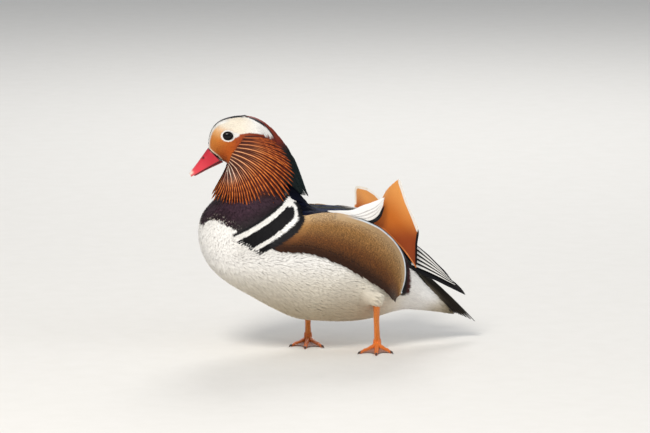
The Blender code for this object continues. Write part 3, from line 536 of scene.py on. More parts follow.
class Coat:
    """Many vanes gathered into joined meshes of limited size."""

    def __init__(self, name, look, slot, nodes=()):
        self.name, self.look, self.slot, self.nodes = name, look, slot, nodes
        self.parts, self.count, self.made = [], 0, []

    def add(self, path, normals, widths, colours, places, crown=0.16, columns=3, thick=0.0, shares=None):
        """Vanes along path (n, k, 3); colours (n, k, columns, 3); places is the root's bake place."""
        n, k = path.shape[:2]
        if not n:
            return
        along = np.gradient(path, axis=1)
        across = unit(np.cross(along, normals))
        up = unit(np.cross(across, along))
        share = np.linspace(-0.5, 0.5, columns) if shares is None else np.array(shares)
        columns = len(share)
        points = (path[:, :, None] + across[:, :, None] * (share[None, None, :, None] * widths[:, :, None, None])
                  - up[:, :, None] * (np.abs(2 * share)[None, None, :, None] ** 1.5 * crown * widths[:, :, None, None]))
        run = np.concatenate([np.zeros((n, 1)), np.cumsum(np.linalg.norm(np.diff(path, axis=1), axis=-1), axis=1)], 1)
        vane = np.stack(np.broadcast_arrays((share + 0.5)[None, None, :], run[:, :, None] * VANE_SCALE), -1)
        local = np.stack(np.broadcast_arrays(share[None, None, :], np.linspace(-0.5, 0.5, k)[None, :, None]), -1)
        bake = places[:, None, None] + PATCH * np.broadcast_to(local, (n, k, columns, 2))
        faces = grid_faces(k, columns, False)
        if thick:
            points = np.concatenate([points, points - up[:, :, None] * thick], 1)
            # The underside copy of the colours is darkened: painted shade
            colours = np.concatenate([colours, colours * UNDERSIDE_SHADE], 1)
            vane, bake = np.concatenate([vane, vane], 1), np.concatenate([bake, bake], 1)
            faces = sheet_faces(k, columns)
        size = points.shape[1] * points.shape[2]
        start = 0
        room = max(1, MOST_TRIANGLES // (2 * len(faces)))
        while start < n:
            left = max(0, MOST_TRIANGLES - self.count) // (2 * len(faces))
            if left < 1:
                self.flush()
                left = room
            end = min(n, start + left)
            block = slice(start, end)
            self.parts.append((points[block].reshape(-1, 3), faces, size, end - start, colours[block].reshape(-1, 3),
                               vane[block].reshape(-1, 2), bake[block].reshape(-1, 2)))
            self.count += 2 * len(faces) * (end - start)
            start = end

    def flush(self):
        if not self.parts:
            return
        faces, shift = [], 0
        for points, face, size, n, _, _, _ in self.parts:
            faces.append((face[None] + shift + size * np.arange(n)[:, None, None]).reshape(-1, 4))
            shift += len(points)
        name = self.name if not self.made else f"{self.name}_{len(self.made) + 1}"
        points, colours, vane, bake = (np.concatenate([part[n] for part in self.parts]) for n in (0, 4, 5, 6))
        piece = add_mesh(name, points, np.concatenate(faces), colours, self.look, {"OFBake": bake, "Vane": vane})
        dress(piece, self.slot, *(self.nodes if not self.made else ()))
        self.made.append(piece)
        self.parts, self.count = [], 0


def walk(t, angle, heading, length, lifts):
    """Paths over the coat's surface from roots at t and angle: points, normals and the t and angle on the way."""
    count = lifts.shape[1]
    t, angle, heading = np.array(t, float), np.array(angle, float), np.array(heading, float)
    points, ups, ts, angles = [], [], [], []
    for k in range(count):
        normal = unit(at(NORMALS, t, angle))
        heading = unit(heading - normal * (heading * normal).sum(-1, keepdims=True))
        points.append(at(COAT, t, angle) + normal * lifts[:, k, None])
        ups.append(normal)
        ts.append(t)
        angles.append(angle)
        one, two = at(ALONG, t, angle), at(AROUND, t, angle)
        a, b, c = (one * one).sum(-1), (one * two).sum(-1), (two * two).sum(-1)
        size = length / (count - 1)
        p, q = (one * heading).sum(-1) * size, (two * heading).sum(-1) * size
        det = np.maximum(a * c - b * b, 1e-6)
        t = np.clip(t + (c * p - b * q) / det, 0, LAST_T)
        angle = angle + (a * q - b * p) / det
    return np.stack(points, 1), np.stack(ups, 1), np.stack(ts, 1), np.stack(angles, 1)


def scatter(density, rng):
    """Roots spread over the surface by a density for each square millimetre, in rows with jitter."""
    wanted = (CELLS * density)[:-1]
    order = np.cumsum(wanted, axis=1) + rng.random((len(wanted), 1))
    carried = np.cumsum(wanted.sum(1))
    order += (np.concatenate([[0], carried[:-1]]) + rng.random())[:, None]
    flat = order.ravel()
    counts = np.diff(np.floor(np.concatenate([[0.0], flat]))).astype(int).clip(0)
    cell = np.repeat(np.arange(flat.size), counts)
    i, j = np.divmod(cell, A_COUNT)
    return (i + rng.random(len(i))) * T_STEP, (j + rng.random(len(j))) * 2 * math.pi / A_COUNT


# Markings, as (x, z) lines seen from the side, in millimetres

WHITE_BAR_1 = np.array([
    (-126.0, 126.5), (-110.3, 134.4), (-97.0, 141.8), (-82.5, 150.2), (-71.8, 156.8), (-62.0, 164.0),
])
WHITE_BAR_2 = np.array([
    (-104.3, 117.9), (-90.9, 125.3), (-76.4, 134.3), (-66.4, 140.4), (-60.4, 144.4), (-56.3, 150.2),
    (-55.6, 156.3), (-59.0, 160.3), (-63.1, 159.0),
])
BAR_END = np.array([
    (-100.9, 113.9), (-88.2, 120.0), (-74.0, 127.9), (-61.0, 134.9), (-51.1, 143.9), (-48.5, 152.0),
])
# The breast's edge is seen from the front: distance from the middle plane, and height
BREAST_EDGE = np.array([
    (0.0, 137.0), (6.0, 139.0), (14.0, 144.0), (24.0, 145.5), (34.0, 140.0), (42.0, 134.0), (48.0, 127.5),
])
RUMP_LINE = np.array([
    (60.0, 92.0), (75.5, 82.0), (84.4, 79.0), (94.4, 70.0), (105.6, 57.0), (112.2, 47.0), (125.0, 36.0),
])
BROW_LOW = np.array([
    (-39.5, 224.0), (-36.9, 227.6), (-33.0, 230.6), (-29.6, 232.4), (-20.4, 233.6), (-12.1, 232.6),
    (-4.8, 230.6), (3.5, 227.4), (6.0, 226.4),
])
BROW_TOP = np.array([
    (-30.0, 250.4), (-22.0, 249.4), (-16.6, 247.6), (-9.3, 243.8), (-4.5, 240.6), (-0.2, 236.9), (3.0, 232.4),
    (6.0, 227.4),
])
BILL_EDGE = np.array([(-66.5, 219.0), (-63.0, 214.2), (-58.5, 210.4), (-54.0, 207.2), (-50.8, 203.6)])
GAPE = np.array([(-51.5, 203.4), (-48.0, 200.8), (-45.0, 197.6), (-43.4, 194.0)])
# The crown stripe's half width at places along the head, below zero where it has ended
CROWN_HALF = np.array([
    (-66.0, 1.8), (-60.0, 2.5), (-50.0, 3.8), (-35.0, 5.2), (-22.0, 4.0), (-13.0, -1.0), (10.0, -1.0),
])


def line_at(line, x):
    return np.interp(x, line[:, 0], line[:, 1])


def line_distance(line, x, z):
    """How far points lie from a broken line."""
    best = np.full(np.shape(x), 1e9)
    for (ax, az), (bx, bz) in zip(line[:-1], line[1:]):
        run = (bx - ax) ** 2 + (bz - az) ** 2
        share = np.clip(((x - ax) * (bx - ax) + (z - az) * (bz - az)) / run, 0, 1)
        best = np.minimum(best, np.hypot(x - ax - share * (bx - ax), z - az - share * (bz - az)))
    return best


def hash_noise(x, y, z, size):
    """A smooth number from -1 to 1 that changes over about size."""
    a = np.sin(x / size * 2.1 + np.sin(z / size * 1.7 + 0.6) * 1.3)
    a = a * np.cos(z / size * 2.3 + np.sin(y / size * 1.9) * 1.1)
    b = np.sin((x + z) / size * 3.7 + 1.3 * np.cos(y / size * 2.9)) * 0.5
    return (a + b) / 1.5


def body_paint(p):
    """The colours of the trunk's coat at points."""
    x, y, z = p[..., 0], np.abs(p[..., 1]), p[..., 2]
    rough = hash_noise(x, p[..., 1], z, 3.0)
    # Painted shade: the belly darkens downwards, to a warm bounce-lit shade low down and forward
    colour = mix(mix(BELLY_SOFT_SHADE, WHITE, step(z, 70, 105)), BELLY_BOUNCE_SHADE, 0.75 * step(z, 85, 34) * step(x, 70, 20))
    colour = mix(colour, WHITE * 0.93, step(x, 50, 75))
    low, top = line_at(FLANK_LOW, x), line_at(FLANK_TOP[:11], x)
    share = np.clip((z - low) / np.maximum(top - low, 8), 0, 1)
    buff = flank_paint(x, share)
    flank = step(z + rough, low - 0.5, low + 0.5) * step(x, -88, -84)
    colour = mix(colour, buff, flank * (x < 66) * (z < top + 6))
    dark = mix(BLACK, BRONZE, 0.8 * step(y, 26, 8))
    back = step(z, top + 1.0, top + 3.0) * step(x, -68, -60) * (x < 62)
    colour = mix(colour, dark, back)
    rump_z = line_at(RUMP_LINE, x)
    rump = step(z + rough * 0.8, rump_z - 0.6, rump_z + 0.6) * step(x, 60, 63)
    colour = mix(colour, mix(BLACK, BRONZE, 0.75 * step(y, 16, 6)), rump)
    behind = step(x, 58, 60) * step(x + rough, 71.5, 70.0) * step(z, 55, 60)
    colour = mix(colour, mix(BLACK, rgb("4a1a18"), step(x, 64, 70)), behind)
    # Painted shade with warm bounce light: tan-brown low down under the tail
    colour = mix(colour, rgb("a99673"), 0.75 * step(x, 84, 112) * step(z, 56, 34))
    back_of = x + 2.4 * rough + 0.35 * (z - 40)
    # More painted shade, browner towards the rear below the rump line
    colour = mix(colour, rgb("847860"), step(back_of, 107.0, 122.0) * step(z, rump_z + 1, rump_z - 1))
    colour = mix(colour, TAIL_BROWN, step(back_of, 116.0, 136.0))
    edge = line_at(BREAST_EDGE, y)
    breast = step(z + 1.4 * rough, edge - 0.5, edge + 0.5) * step(x, -60, -66)
    wine = mix(mix(PURPLE, rgb("24151b"), step(z, edge + 16, edge)), rgb("553746"), 0.5 * step(rough, 0.2, 0.9))
    wine = mix(wine, CREAM, step(hash_noise(x * 1.7, y, z * 1.9, 1.3), 0.50, 0.72) * step(z, edge + 8, edge + 1) * 0.85)
    wine = mix(wine, rgb("241014"), step(z, 160, 172))
    first = (z - line_at(WHITE_BAR_1, x)) * 0.857
    wine = mix(wine, rgb("150c10"), 0.8 * step(first, 20, 5) * step(y, 30, 40))
    colour = mix(colour, wine, breast * step(first, 2.0, 3.0))
    return bar_paint(colour, x, z, rough)


def bar_paint(colour, x, z, rough):
    """The black and white bars between breast and flank, ragged at their lower ends."""
    first = (z - line_at(WHITE_BAR_1, x)) * 0.857
    streak = 2.6 * np.sin(first * 3.1 + 0.7 * np.sin(first * 1.3)) + 1.2 * rough
    ends = np.interp(x, (-126.0, -104.3, -100.9, -92.0), (126.5, 114.0, 111.5, 111.0))
    after = line_at(BAR_END, x) - 2.9
    bars = (step(first, 5.6, 4.8) * step(z + streak, ends, ends + 1.4) * step(z + 0.3 * rough, after, after + 0.7)
            * step(x, -46.6, -47.8) * step(x, -128, -125))
    colour = mix(colour, BLACK, bars)
    second = line_distance(WHITE_BAR_2, x, z)
    white = np.maximum(step(np.abs(first + 0.25 * rough), 2.7, 2.1), step(second + 0.25 * rough, 2.3, 1.7))
    return mix(colour, WHITE, white * bars)


def flank_paint(x, share):
    """The buff side feathers: dark brown low down, tan higher, greyer at the rear end."""
    share = np.clip(share, 0, 1)
    colour = mix(mix(DARK, BROWN, step(share, 0.0, 0.34)), TAN, step(share, 0.28, 0.74))
    colour = mix(colour, BUFF, step(share, 0.66, 1.0))
    colour = mix(colour, rgb("6f675e"), 0.7 * step(x, 38, 58) * step(share, 0.6, 0.05))
    return mix(colour, rgb("ad926c"), 0.4 * step(x, 0, 40) * step(share, 0.45, 0.95))


def eye_ring(hx, z):
    """How far places of the head's plane lie from the eye, with 1 at the white ring's outer edge."""
    return np.hypot((hx - EYE[0]) / 7.6, (z - EYE[1]) / 5.9)


def head_paint(p):
    """The colours of the face, crown, throat and neck at points."""
    hx, hy, z = head_frame(p)
    away = np.abs(hy)
    low = line_at(BROW_LOW, hx)
    cheek = mix(GOLD, CHEEK, step(hx * 0.75 - z * 0.66, -196, -172))
    colour = mix(cheek, rgb("efbd82"), step(z + 0.2 * hx, 214, 226) * step(hx, -34, -54))
    colour = mix(colour, CREAM, step(z + 0.35 * (hx + 42), 229, 240))
    brow = step(z, low - 0.35, low + 0.35) * step(hx, -40, -34)
    colour = mix(colour, mix(CREAM, WHITE, step(hx, -32, -6)), np.maximum(brow, step(z, 238, 245) * step(hx, -52, -42)))
    rust = step(z, low + 0.35, low - 0.35) * step(hx, -40, -31)
    colour = mix(colour, mix(rgb("a8481a"), rgb("86300f"), step(hx, -32, -12)), rust)
    throat = step(z - 0.2 * hx, 213, 205)
    colour = mix(colour, mix(rgb("b4531a"), rgb("4d1c0e"), step(hx, -44, -20)), throat * 0.85)
    colour = mix(colour, rgb("2e1a22"), step(z + 0.25 * hx, 169, 158))
    half = line_at(CROWN_HALF, hx)
    colour = mix(colour, WHITE, step(away, half + 5.6, half + 3.4) * step(z, 214, 218) * step(hx, -38, -48))
    crown = step(away, half + 0.35, half - 0.35) * step(z, 212, 214)
    black = mix(rgb("100f18"), MAROON, step(hx, -30, -18) * step(away, half - 1.6, half - 2.6))
    colour = mix(colour, black, crown)
    over = z - line_at(BROW_TOP, hx) - 2.6
    behind = step(hx, -30, -26) * (hx < 7.5)
    colour = mix(colour, mix(rgb("7a2812"), rgb("5a1a10"), step(hx, -24, 0)), step(over, 0.7, 1.3) * behind)
    colour = mix(colour, rgb("120e14"), step(np.abs(over), 1.2, 0.7) * behind)
    nape = step(hx - (205 - z) * 0.25, -3.0, 2.0) * step(z, 224, 212)
    colour = mix(colour, GREENBLACK, nape)
    ring = eye_ring(hx, z)
    tail_end = np.hypot((hx - EYE[0] - 6.6) / 2.0, z - EYE[1] - 0.9)
    colour = mix(colour, WHITE, np.maximum(step(ring, 1.06, 0.97), step(tail_end, 3.0, 2.3)))
    colour = mix(colour, rgb("120c0d"), step(ring, 0.74, 0.69))
    base = line_distance(BILL_EDGE, hx, z)
    colour = mix(colour, rgb("f3dcc0"), step(base, 3.0, 2.2) * step(away, 1.0, 2.5))
    colour = mix(colour, rgb("1a0c0c"), step(base, 1.3, 0.8))
    return mix(colour, rgb("160b0a"), step(line_distance(GAPE, hx, z), 1.7, 1.1))


def paint(p, t):
    """The markings of the whole skin and coat."""
    return mix(head_paint(p), body_paint(p), step(t, 11.0, 12.5))


def coat_depth(t):
    return np.interp(t, (0.0, 1.0, 8.0, 12.0, 15.0, LAST_T), (0.35, 0.7, 0.9, 1.4, 1.9, 1.5))


# The one skin of head, neck, trunk and thighs

SOFT_LOOK = feather_material("coat", 0.62, bump=0.25, spread=0.06)
FACE_LOOK = feather_material("face_coat", 0.55, bump=0.25, spread=0.08)
SKIN_LOOK = feather_material("skin_down", 0.7, bump=0.5, spread=0.08)


def make_skin():
    points = COAT - NORMALS * coat_depth(T_GRID)[..., None]
    seam_t = np.concatenate([T_GRID, T_GRID[:, :1]], 1)
    seam_a = np.concatenate([A_GRID, np.full((T_ROWS, 1), 2 * math.pi - 1e-6)], 1)
    # The skin is painted a little darker: painted shade where it shows between the feathers
    colours = paint(COAT, T_GRID) * 0.94
    flat = points.reshape(-1, 3)
    ends = np.stack([points[0].mean(0), points[-1].mean(0)])
    faces = grid_faces(T_ROWS, A_COUNT, True)
    corner = bake_place(seam_t, seam_a).reshape(-1, 2)
    i, j = np.meshgrid(np.arange(T_ROWS - 1), np.arange(A_COUNT), indexing="ij")
    wide = A_COUNT + 1
    loops = np.stack([i * wide + j, i * wide + j + 1, (i + 1) * wide + j + 1, (i + 1) * wide + j], -1).reshape(-1, 4)
    tips = []
    for end, row in ((0, 0), (1, T_ROWS - 1)):
        ring = row * A_COUNT + np.arange(A_COUNT)
        after = row * A_COUNT + (np.arange(A_COUNT) + 1) % A_COUNT
        pole = np.full(A_COUNT, len(flat) + end)
        tips.append(np.stack([pole, after, ring] if end == 0 else [pole, ring, after], -1))
    mesh = bpy.data.meshes.new("skin")
    mesh.from_pydata((np.concatenate([flat, ends]) * MM).tolist(), [], faces.tolist() + np.concatenate(tips).tolist())
    mesh.polygons.foreach_set("use_smooth", np.ones(len(mesh.polygons), bool))
    layer = mesh.uv_layers.new(name="OFBake")
    spots = corner[loops.ravel()]
    end_spots = []
    for end, row in ((0, 0), (1, T_ROWS - 1)):
        a = row * wide + np.arange(A_COUNT)
        pole = (corner[a] + corner[a + 1]) / 2 + (0, -0.006 if end == 0 else 0.006)
        pair = [pole, corner[a + 1], corner[a]] if end == 0 else [pole, corner[a], corner[a + 1]]
        end_spots.append(np.stack(pair, 1).reshape(-1, 2))
    layer.data.foreach_set("uv", np.concatenate([spots, *end_spots]).astype(np.float32).ravel())
    paints = mesh.color_attributes.new("Col", "FLOAT_COLOR", "POINT")
    full = np.ones((len(flat) + 2, 4), np.float32)
    full[:-2, :3] = colours.reshape(-1, 3)
    full[-2:, :3] = (rgb("2a1512"), rgb("4b3f33"))
    paints.data.foreach_set("color", full.ravel())
    mesh.materials.append(SKIN_LOOK)
    dress(placed("skin", mesh), "body_feathers", "torso", "neck", "head", "thigh_left", "thigh_right")


# The way that feathers lie in the bars, how unsteady headings are, how much of its own width and
# length a small feather's paint covers, and its widths from root to tip
BAR_WAY, WAVER, PAINT_SHARE = np.array((0.80, 0.0, 0.60)), 0.10, 0.9
SMALL_SHAPE = ((0, 0.35, 0.7, 0.9, 1.0), (0.55, 1.0, 0.95, 0.6, 0.12))


def soft_coat(name, look, slot, density, length, width, stations, seed, lift=0.35, fray=0.5):
    """Small feathers over the skin, each painted where it lies."""
    rng = np.random.default_rng(seed)
    t, angle = scatter(density, rng)
    n = len(t)
    reach = at(length, t, angle) * rng.uniform(0.8, 1.2, n)
    wide = at(width, t, angle) * rng.uniform(0.85, 1.15, n)
    place = at(COAT, t, angle)
    x, z = place[:, 0], place[:, 2]
    bar_z = line_at(WHITE_BAR_1, x)
    barred = step(x, -136, -120) * step(x, -44, -52) * step(z, 98, 112) * step(z, bar_z + 9, bar_z + 3)
    heading = unit(mix(unit(at(ALONG, t, angle)), BAR_WAY, barred * (t > 12)))
    heading = unit(heading + WAVER * rng.normal(size=(n, 3)))
    depth = coat_depth(t)
    s = np.linspace(0, 1, stations)
    tip = lift * (0.5 + rng.random(n)) + fray * (rng.random(n) ** 4)
    lifts = -depth[:, None] * 0.85 * (1 - s) ** 1.2 + tip[:, None] * s**1.5
    path, ups, ts, _ = walk(t, angle, heading, reach, lifts)
    middle = int(stations * 0.6)
    centre = path[:, middle:middle + 1]
    base = paint(centre + (path - centre) * PAINT_SHARE, ts) * rng.uniform(0.93, 1.05, (n, 1, 1))
    # Painted shade towards each feather's root, where it lies under others, and a painted highlight along its middle
    shade = np.interp(s, (0, 0.4, 0.85, 1.0), (0.86, 0.96, 1.0, 1.02))
    colours = base[:, :, None] * shade[None, :, None, None] * np.array((0.98, 1.02, 0.98))[None, None, :, None]
    coat = Coat(name, look, slot)
    coat.add(path, ups, wide[:, None] * np.interp(s, *SMALL_SHAPE), colours, bake_place(t, angle), crown=0.08)
    coat.flush()


def cover():
    """The coat of the head, neck and trunk."""
    hx, hy, hz = head_frame(COAT)
    low, top = line_at(FLANK_LOW, COAT[..., 0]), line_at(FLANK_TOP[:11], COAT[..., 0])
    x, z = COAT[..., 0], COAT[..., 2]
    under_flank = (z > low + 4) & (z < top - 3) & (x > -60) & (x < 54) & (T_GRID > 13)
    bill = (T_GRID < 0.15)
    eye = eye_ring(hx, hz) < 0.76
    under_ruff = (T_GRID > 8.2) & (T_GRID < 13.0)
    head = np.where((T_GRID < 10.2) & ~bill & ~eye, 1.25, 0.0)
    head = np.where((hx > -14) & (hz < 226), 0.45, head) * (T_GRID < 10.2)
    one = np.ones_like(T_GRID)
    soft_coat("face_feathers", FACE_LOOK, "head_feathers", head, np.interp(T_GRID, (0, 3, 8), (2.0, 2.8, 3.4)),
              one * 0.95, 4, 11, lift=0.15, fray=0.1)
    ring = eye_ring(hx, hz)
    round_eye = np.where((ring > 0.72) & (ring < 1.0) & (T_GRID < 8), 3.0, 0.0)
    soft_coat("eye_ring_feathers", FACE_LOOK, "head_feathers", round_eye, one * 1.5, one * 0.6, 4, 12, fray=0.1)
    neck = np.where(under_ruff, 0.22, 0.0) * (T_GRID >= 10.2)
    soft_coat("neck_feathers", SOFT_LOOK, "neck_feathers", neck, one * 7.0, one * 2.2, 4, 13)
    breast = (x < -45) & (T_GRID >= 13.0) & (z > 105)
    body = np.where(breast, 0.62, 0.40)
    body = np.where(under_flank, 0.03, body)
    body = np.where((z > top + 2) & (x > -55) & (x < 60), 0.08, body)
    body = np.where(T_GRID < 13.0, 0.0, np.where(T_GRID > 31.2, 0.0, body))
    length = np.where(breast, 6.0, np.where(x > 60, 9.0, 9.5))
    width = np.where(breast, 1.5, 1.7)
    soft_coat("body_feathers", SOFT_LOOK, "body_feathers", body, length, width, 5, 14, lift=0.28, fray=0.35)


make_skin()
cover()


# Flanks

FLANK_S, FLANK_V = 64, 26


def flank_table():
    """The t and angle of the right flank's places by share along and share up."""
    table = np.zeros((FLANK_S, FLANK_V, 2))
    for i, s in enumerate(np.linspace(0, 1, FLANK_S)):
        top, low = by_length(FLANK_TOP, s), by_length(FLANK_LOW, s)
        for j, v in enumerate(np.linspace(0, 1, FLANK_V)):
            x, z = low + (top - low) * math.sin(v * math.pi / 2)
            table[i, j] = side_place(x, z, RIGHT)
    table[..., 1] = (table[..., 1] + math.pi) % (2 * math.pi) - math.pi
    return table


FLANK = flank_table()
FLANK_LOOK = feather_material("flank_feathers", 0.6, bump=0.5, bars=38.0, spread=0.24)
RIM_LOOK = feather_material("flank_rim_feathers", 0.55, bump=0.3, spread=0.05)


def flank_at(s, v, side):
    """The t and angle on one flank at shares along and up."""
    row, column = np.clip(s, 0, 1) * (FLANK_S - 1), np.clip(v, 0, 1) * (FLANK_V - 1)
    i, j = np.clip(row.astype(int), 0, FLANK_S - 2), np.clip(column.astype(int), 0, FLANK_V - 2)
    f, g = (row - i)[..., None], (column - j)[..., None]
    value = between(FLANK, i, j, j + 1, f, g)
    angle = value[..., 1] if side == RIGHT else math.pi - value[..., 1]
    return value[..., 0], angle


def flank_height(s, v):
    front = np.clip(s * 19 / 5, 0, 1)
    rear = np.clip((s * 19 - 15) / 4, 0, 1)
    return 1.5 + (FLANK_DEPTH - 0.9) * front * np.maximum(np.clip(v, 0, 1) ** 0.8, rear)


def flank_point(s, v, side, lift):
    t, angle = flank_at(s, v, side)
    return at(COAT, t, angle) + at(NORMALS, t, angle) * np.asarray(lift)[..., None]


def slab(name, outer, inner, colours, look, places, vane=None):
    """A closed thin sheet from two grids of points."""
    faces = sheet_faces(*outer.shape[:2])
    maps = {"OFBake": np.concatenate([places.reshape(-1, 2)] * 2)}
    if vane is not None:
        maps["Vane"] = np.concatenate([vane.reshape(-1, 2)] * 2)
    both = np.concatenate([colours.reshape(-1, 3)] * 2)
    return add_mesh(name, np.concatenate([outer.reshape(-1, 3), inner.reshape(-1, 3)]), faces, both, look, maps)


def make_flank(side):
    name = SIDE_NAMES[side]
    s, v = np.meshgrid(np.linspace(0.01, 1, 90), np.linspace(0.02, 1, 34), indexing="ij")
    t, angle = flank_at(s, v, side)
    outer = flank_point(s, v, side, flank_height(s, v) - 0.9)
    inner = flank_point(s, v, side, np.full(s.shape, 0.2))
    colours = flank_colours(s, v) * 0.8
    bed = slab(f"flank_bed_{name}", outer, inner, colours, FLANK_LOOK, bake_place(t, angle),
               np.stack([v, s * 1.6], -1))
    dress(bed, "flank_feathers", f"flank_{name}")
    rng = np.random.default_rng(31 + side)
    count = 6800
    s = (np.arange(count) * 0.6180339887 % 1.0) * 0.995
    v = (np.arange(count) + 0.5) / count
    v = np.clip(v + rng.normal(0, 0.006, count), 0.0, 0.995)
    s = np.clip(s + rng.normal(0, 0.006, count), 0.0, 0.985)
    length = 9.0 * rng.uniform(0.8, 1.2, count) * np.where(v < 0.08, 1.15, 1.0)
    stations = 5
    span = np.interp(v, (0, 1), (165.0, 205.0))
    share = np.linspace(0, 1, stations)
    drop = np.where(v < 0.1, -0.05, 0.0) + rng.normal(0, 0.012, count)
    path, ups, tones = [], [], []
    for k in share:
        here_s, here_v = s + k * length / span, np.clip(v + drop * k, 0, 1)
        tones.append(flank_colours(s + 0.9 * (here_s - s), here_v))
        past = np.clip(here_s - 1.0, 0, None) * span
        lift = flank_height(here_s, here_v) + (-1.1 * (1 - k) ** 1.3 + (0.12 + 0.25 * rng.random(count) ** 3) * k)
        lift = lift - 0.5 * past
        ta = flank_at(here_s, here_v, side)
        ups.append(unit(at(NORMALS, *ta)))
        point = at(COAT, *ta) + ups[-1] * lift[:, None]
        ahead = unit(flank_point(np.clip(here_s, 0, 1), here_v, side, flank_height(here_s, here_v))
                     - flank_point(np.clip(here_s, 0, 1) - 0.02, here_v, side, flank_height(here_s, here_v)))
        path.append(point + ahead * past[:, None] * 0.4)
    low = np.where(v < 0.1)[0]
    path, ups = np.stack(path, 1), np.stack(ups, 1)
    path[low, :, 2] -= (rng.random(len(low)) ** 1.5 * 4.6 * (1 - v[low] / 0.1))[:, None] * share[None] ** 1.5
    base = np.stack(tones, 1) * rng.uniform(0.84, 1.12, (count, 1, 1))
    # Painted shade towards each feather's root, where it lies under others, and a painted highlight along its middle
    shade = np.interp(share, (0, 0.4, 0.85, 1.0), (0.75, 0.95, 1.05, 0.98))
    colours = base[:, :, None] * shade[None, :, None, None] * np.array((0.94, 1.06, 0.94))[None, None, :, None]
    profile = np.interp(share, (0, 0.35, 0.7, 0.9, 1.0), (0.6, 1.0, 0.95, 0.62, 0.14))
    widths = (2.3 * rng.uniform(0.85, 1.15, count))[:, None] * profile
    places = bake_place(*flank_at(s, v, side))
    spot = flank_spot(s, v)
    barred = (spot[:, 0] < -44) & (spot[:, 1] > line_at(BAR_END, spot[:, 0]) - 5)
    for label, look, keep in (("flank_coat", FLANK_LOOK, ~barred), ("flank_bars", RIM_LOOK, barred)):
        coat = Coat(f"{label}_{name}", look, "flank_feathers")
        coat.add(path[keep], ups[keep], widths[keep], colours[keep], places[keep])
        coat.flush()
    flank_rim(side)
    flank_fringe(side)


def flank_fringe(side):
    """Loose barbs along the flank's lower edge, where its brown breaks up over the belly."""
    rng = np.random.default_rng(45 + side)
    count = 1700
    s, v = rng.uniform(0.10, 0.97, count), rng.uniform(0.0, 0.05, count)
    t, angle = flank_at(s, v, side)
    heading = unit(np.array((0.86, 0.0, -0.50)) + rng.normal(0, 0.10, (count, 3)))
    share = np.linspace(0, 1, 5)
    lifts = 1.9 + rng.uniform(0, 0.4, (count, 1)) - 1.1 * share
    path, ups, _, _ = walk(t, angle, heading, rng.uniform(4.5, 9.5, count), lifts)
    tone = flank_colours(s, v) * rng.uniform(0.7, 1.3, (count, 1))
    profile = np.interp(share, (0, 0.3, 0.8, 1.0), (0.5, 1.0, 0.6, 0.1))
    coat = Coat(f"flank_fringe_{SIDE_NAMES[side]}", RIM_LOOK, "flank_feathers")
    coat.add(path, ups, np.full((count, 1), 0.75) * profile, np.repeat(np.repeat(tone[:, None, None], 5, 1), 3, 2),
             bake_place(t, angle), crown=0.05)
    coat.flush()


def flank_spot(s, v):
    """The (x, z) places of the flank at shares along and up."""
    top, low = by_length(FLANK_TOP, np.clip(s, 0, 1)), by_length(FLANK_LOW, np.clip(s, 0, 1))
    return low + (top - low) * np.sin(np.clip(v, 0, 1) * math.pi / 2)[..., None]


def flank_colours(s, v):
    spot = flank_spot(s, v)
    share = np.sin(np.clip(v, 0, 1) * math.pi / 2) ** 1.1
    x, z = spot[..., 0], spot[..., 1]
    return bar_paint(flank_paint(x, share), x, z, hash_noise(x, z * 0, z, 3.0))


def flank_rim(side):
    """The pale and black tipped feathers along the flank's upper and rear edge."""
    rng = np.random.default_rng(41 + side)
    count, deep, beyond = 420, 6.0, 1.2
    away = np.array((deep, 4.4, 3.2, 2.5, 2.2, 1.4, 0.6, 0.25, 0.0, -0.6, -beyond))
    s = np.linspace(0.30, 0.998, count) + rng.normal(0, 0.0006, count)
    path, ups = [], []
    for gap in away:
        here_s = np.clip(s - 0.012 * max(gap, 0.0) / deep, 0, 1)
        tall = np.linalg.norm(by_length(FLANK_TOP, here_s) - by_length(FLANK_LOW, here_s), axis=-1)
        here_v = np.arcsin(np.clip(1 - max(gap, 0.0) / np.maximum(tall, 7.0), 0, 1)) * 2 / math.pi
        over = max(-gap, 0.0)
        ta = flank_at(here_s, here_v, side)
        normal = unit(at(NORMALS, *ta))
        edge = unit(flank_point(here_s, np.full(count, 1.0), side, np.zeros(count))
                    - flank_point(here_s, np.full(count, 0.9), side, np.zeros(count)))
        lift = flank_height(here_s, here_v) + 0.45 * np.clip((deep - gap) / deep, 0, 1) - over * 1.3
        path.append(at(COAT, *ta) + normal * lift[:, None] + edge * (over * 0.5))
        ups.append(unit(normal + edge * (0.35 if over else 0.0)))
    path, ups = np.stack(path, 1), np.stack(ups, 1)
    # Darkened to match the barred flank beside it: partly the bars' own darkening, partly painted shade
    tone = flank_colours(s, np.full(count, 0.93)) * 0.80
    strong = step(s, 0.34, 0.50)[:, None]
    pale = step(away, 2.3, 1.7)[None] * strong
    dark = step(away, 0.75, 0.45)[None] * strong
    colour = mix(mix(tone[:, None], rgb("e3ebf1"), pale), BLACK, dark)
    colours = np.repeat(colour[:, :, None], 3, 2) * rng.uniform(0.96, 1.03, (count, 1, 1, 1))
    run = np.linspace(0, 1, len(away))
    profile = np.interp(run, (0, 0.3, 0.8, 1.0), (0.5, 1.0, 1.0, 0.75))
    coat = Coat(f"flank_rim_{SIDE_NAMES[side]}", RIM_LOOK, "flank_feathers")
    widths = 1.9 * step(s, 0.28, 0.42)[:, None] * profile
    coat.add(path, ups, widths, colours, bake_place(*flank_at(s, np.full(count, 0.97), side)), crown=0.05)
    coat.flush()


# Ruff

SIDE_X, SIDE_Z = np.linspace(-72.0, 60.0, 89), np.linspace(128.0, 256.0, 86)


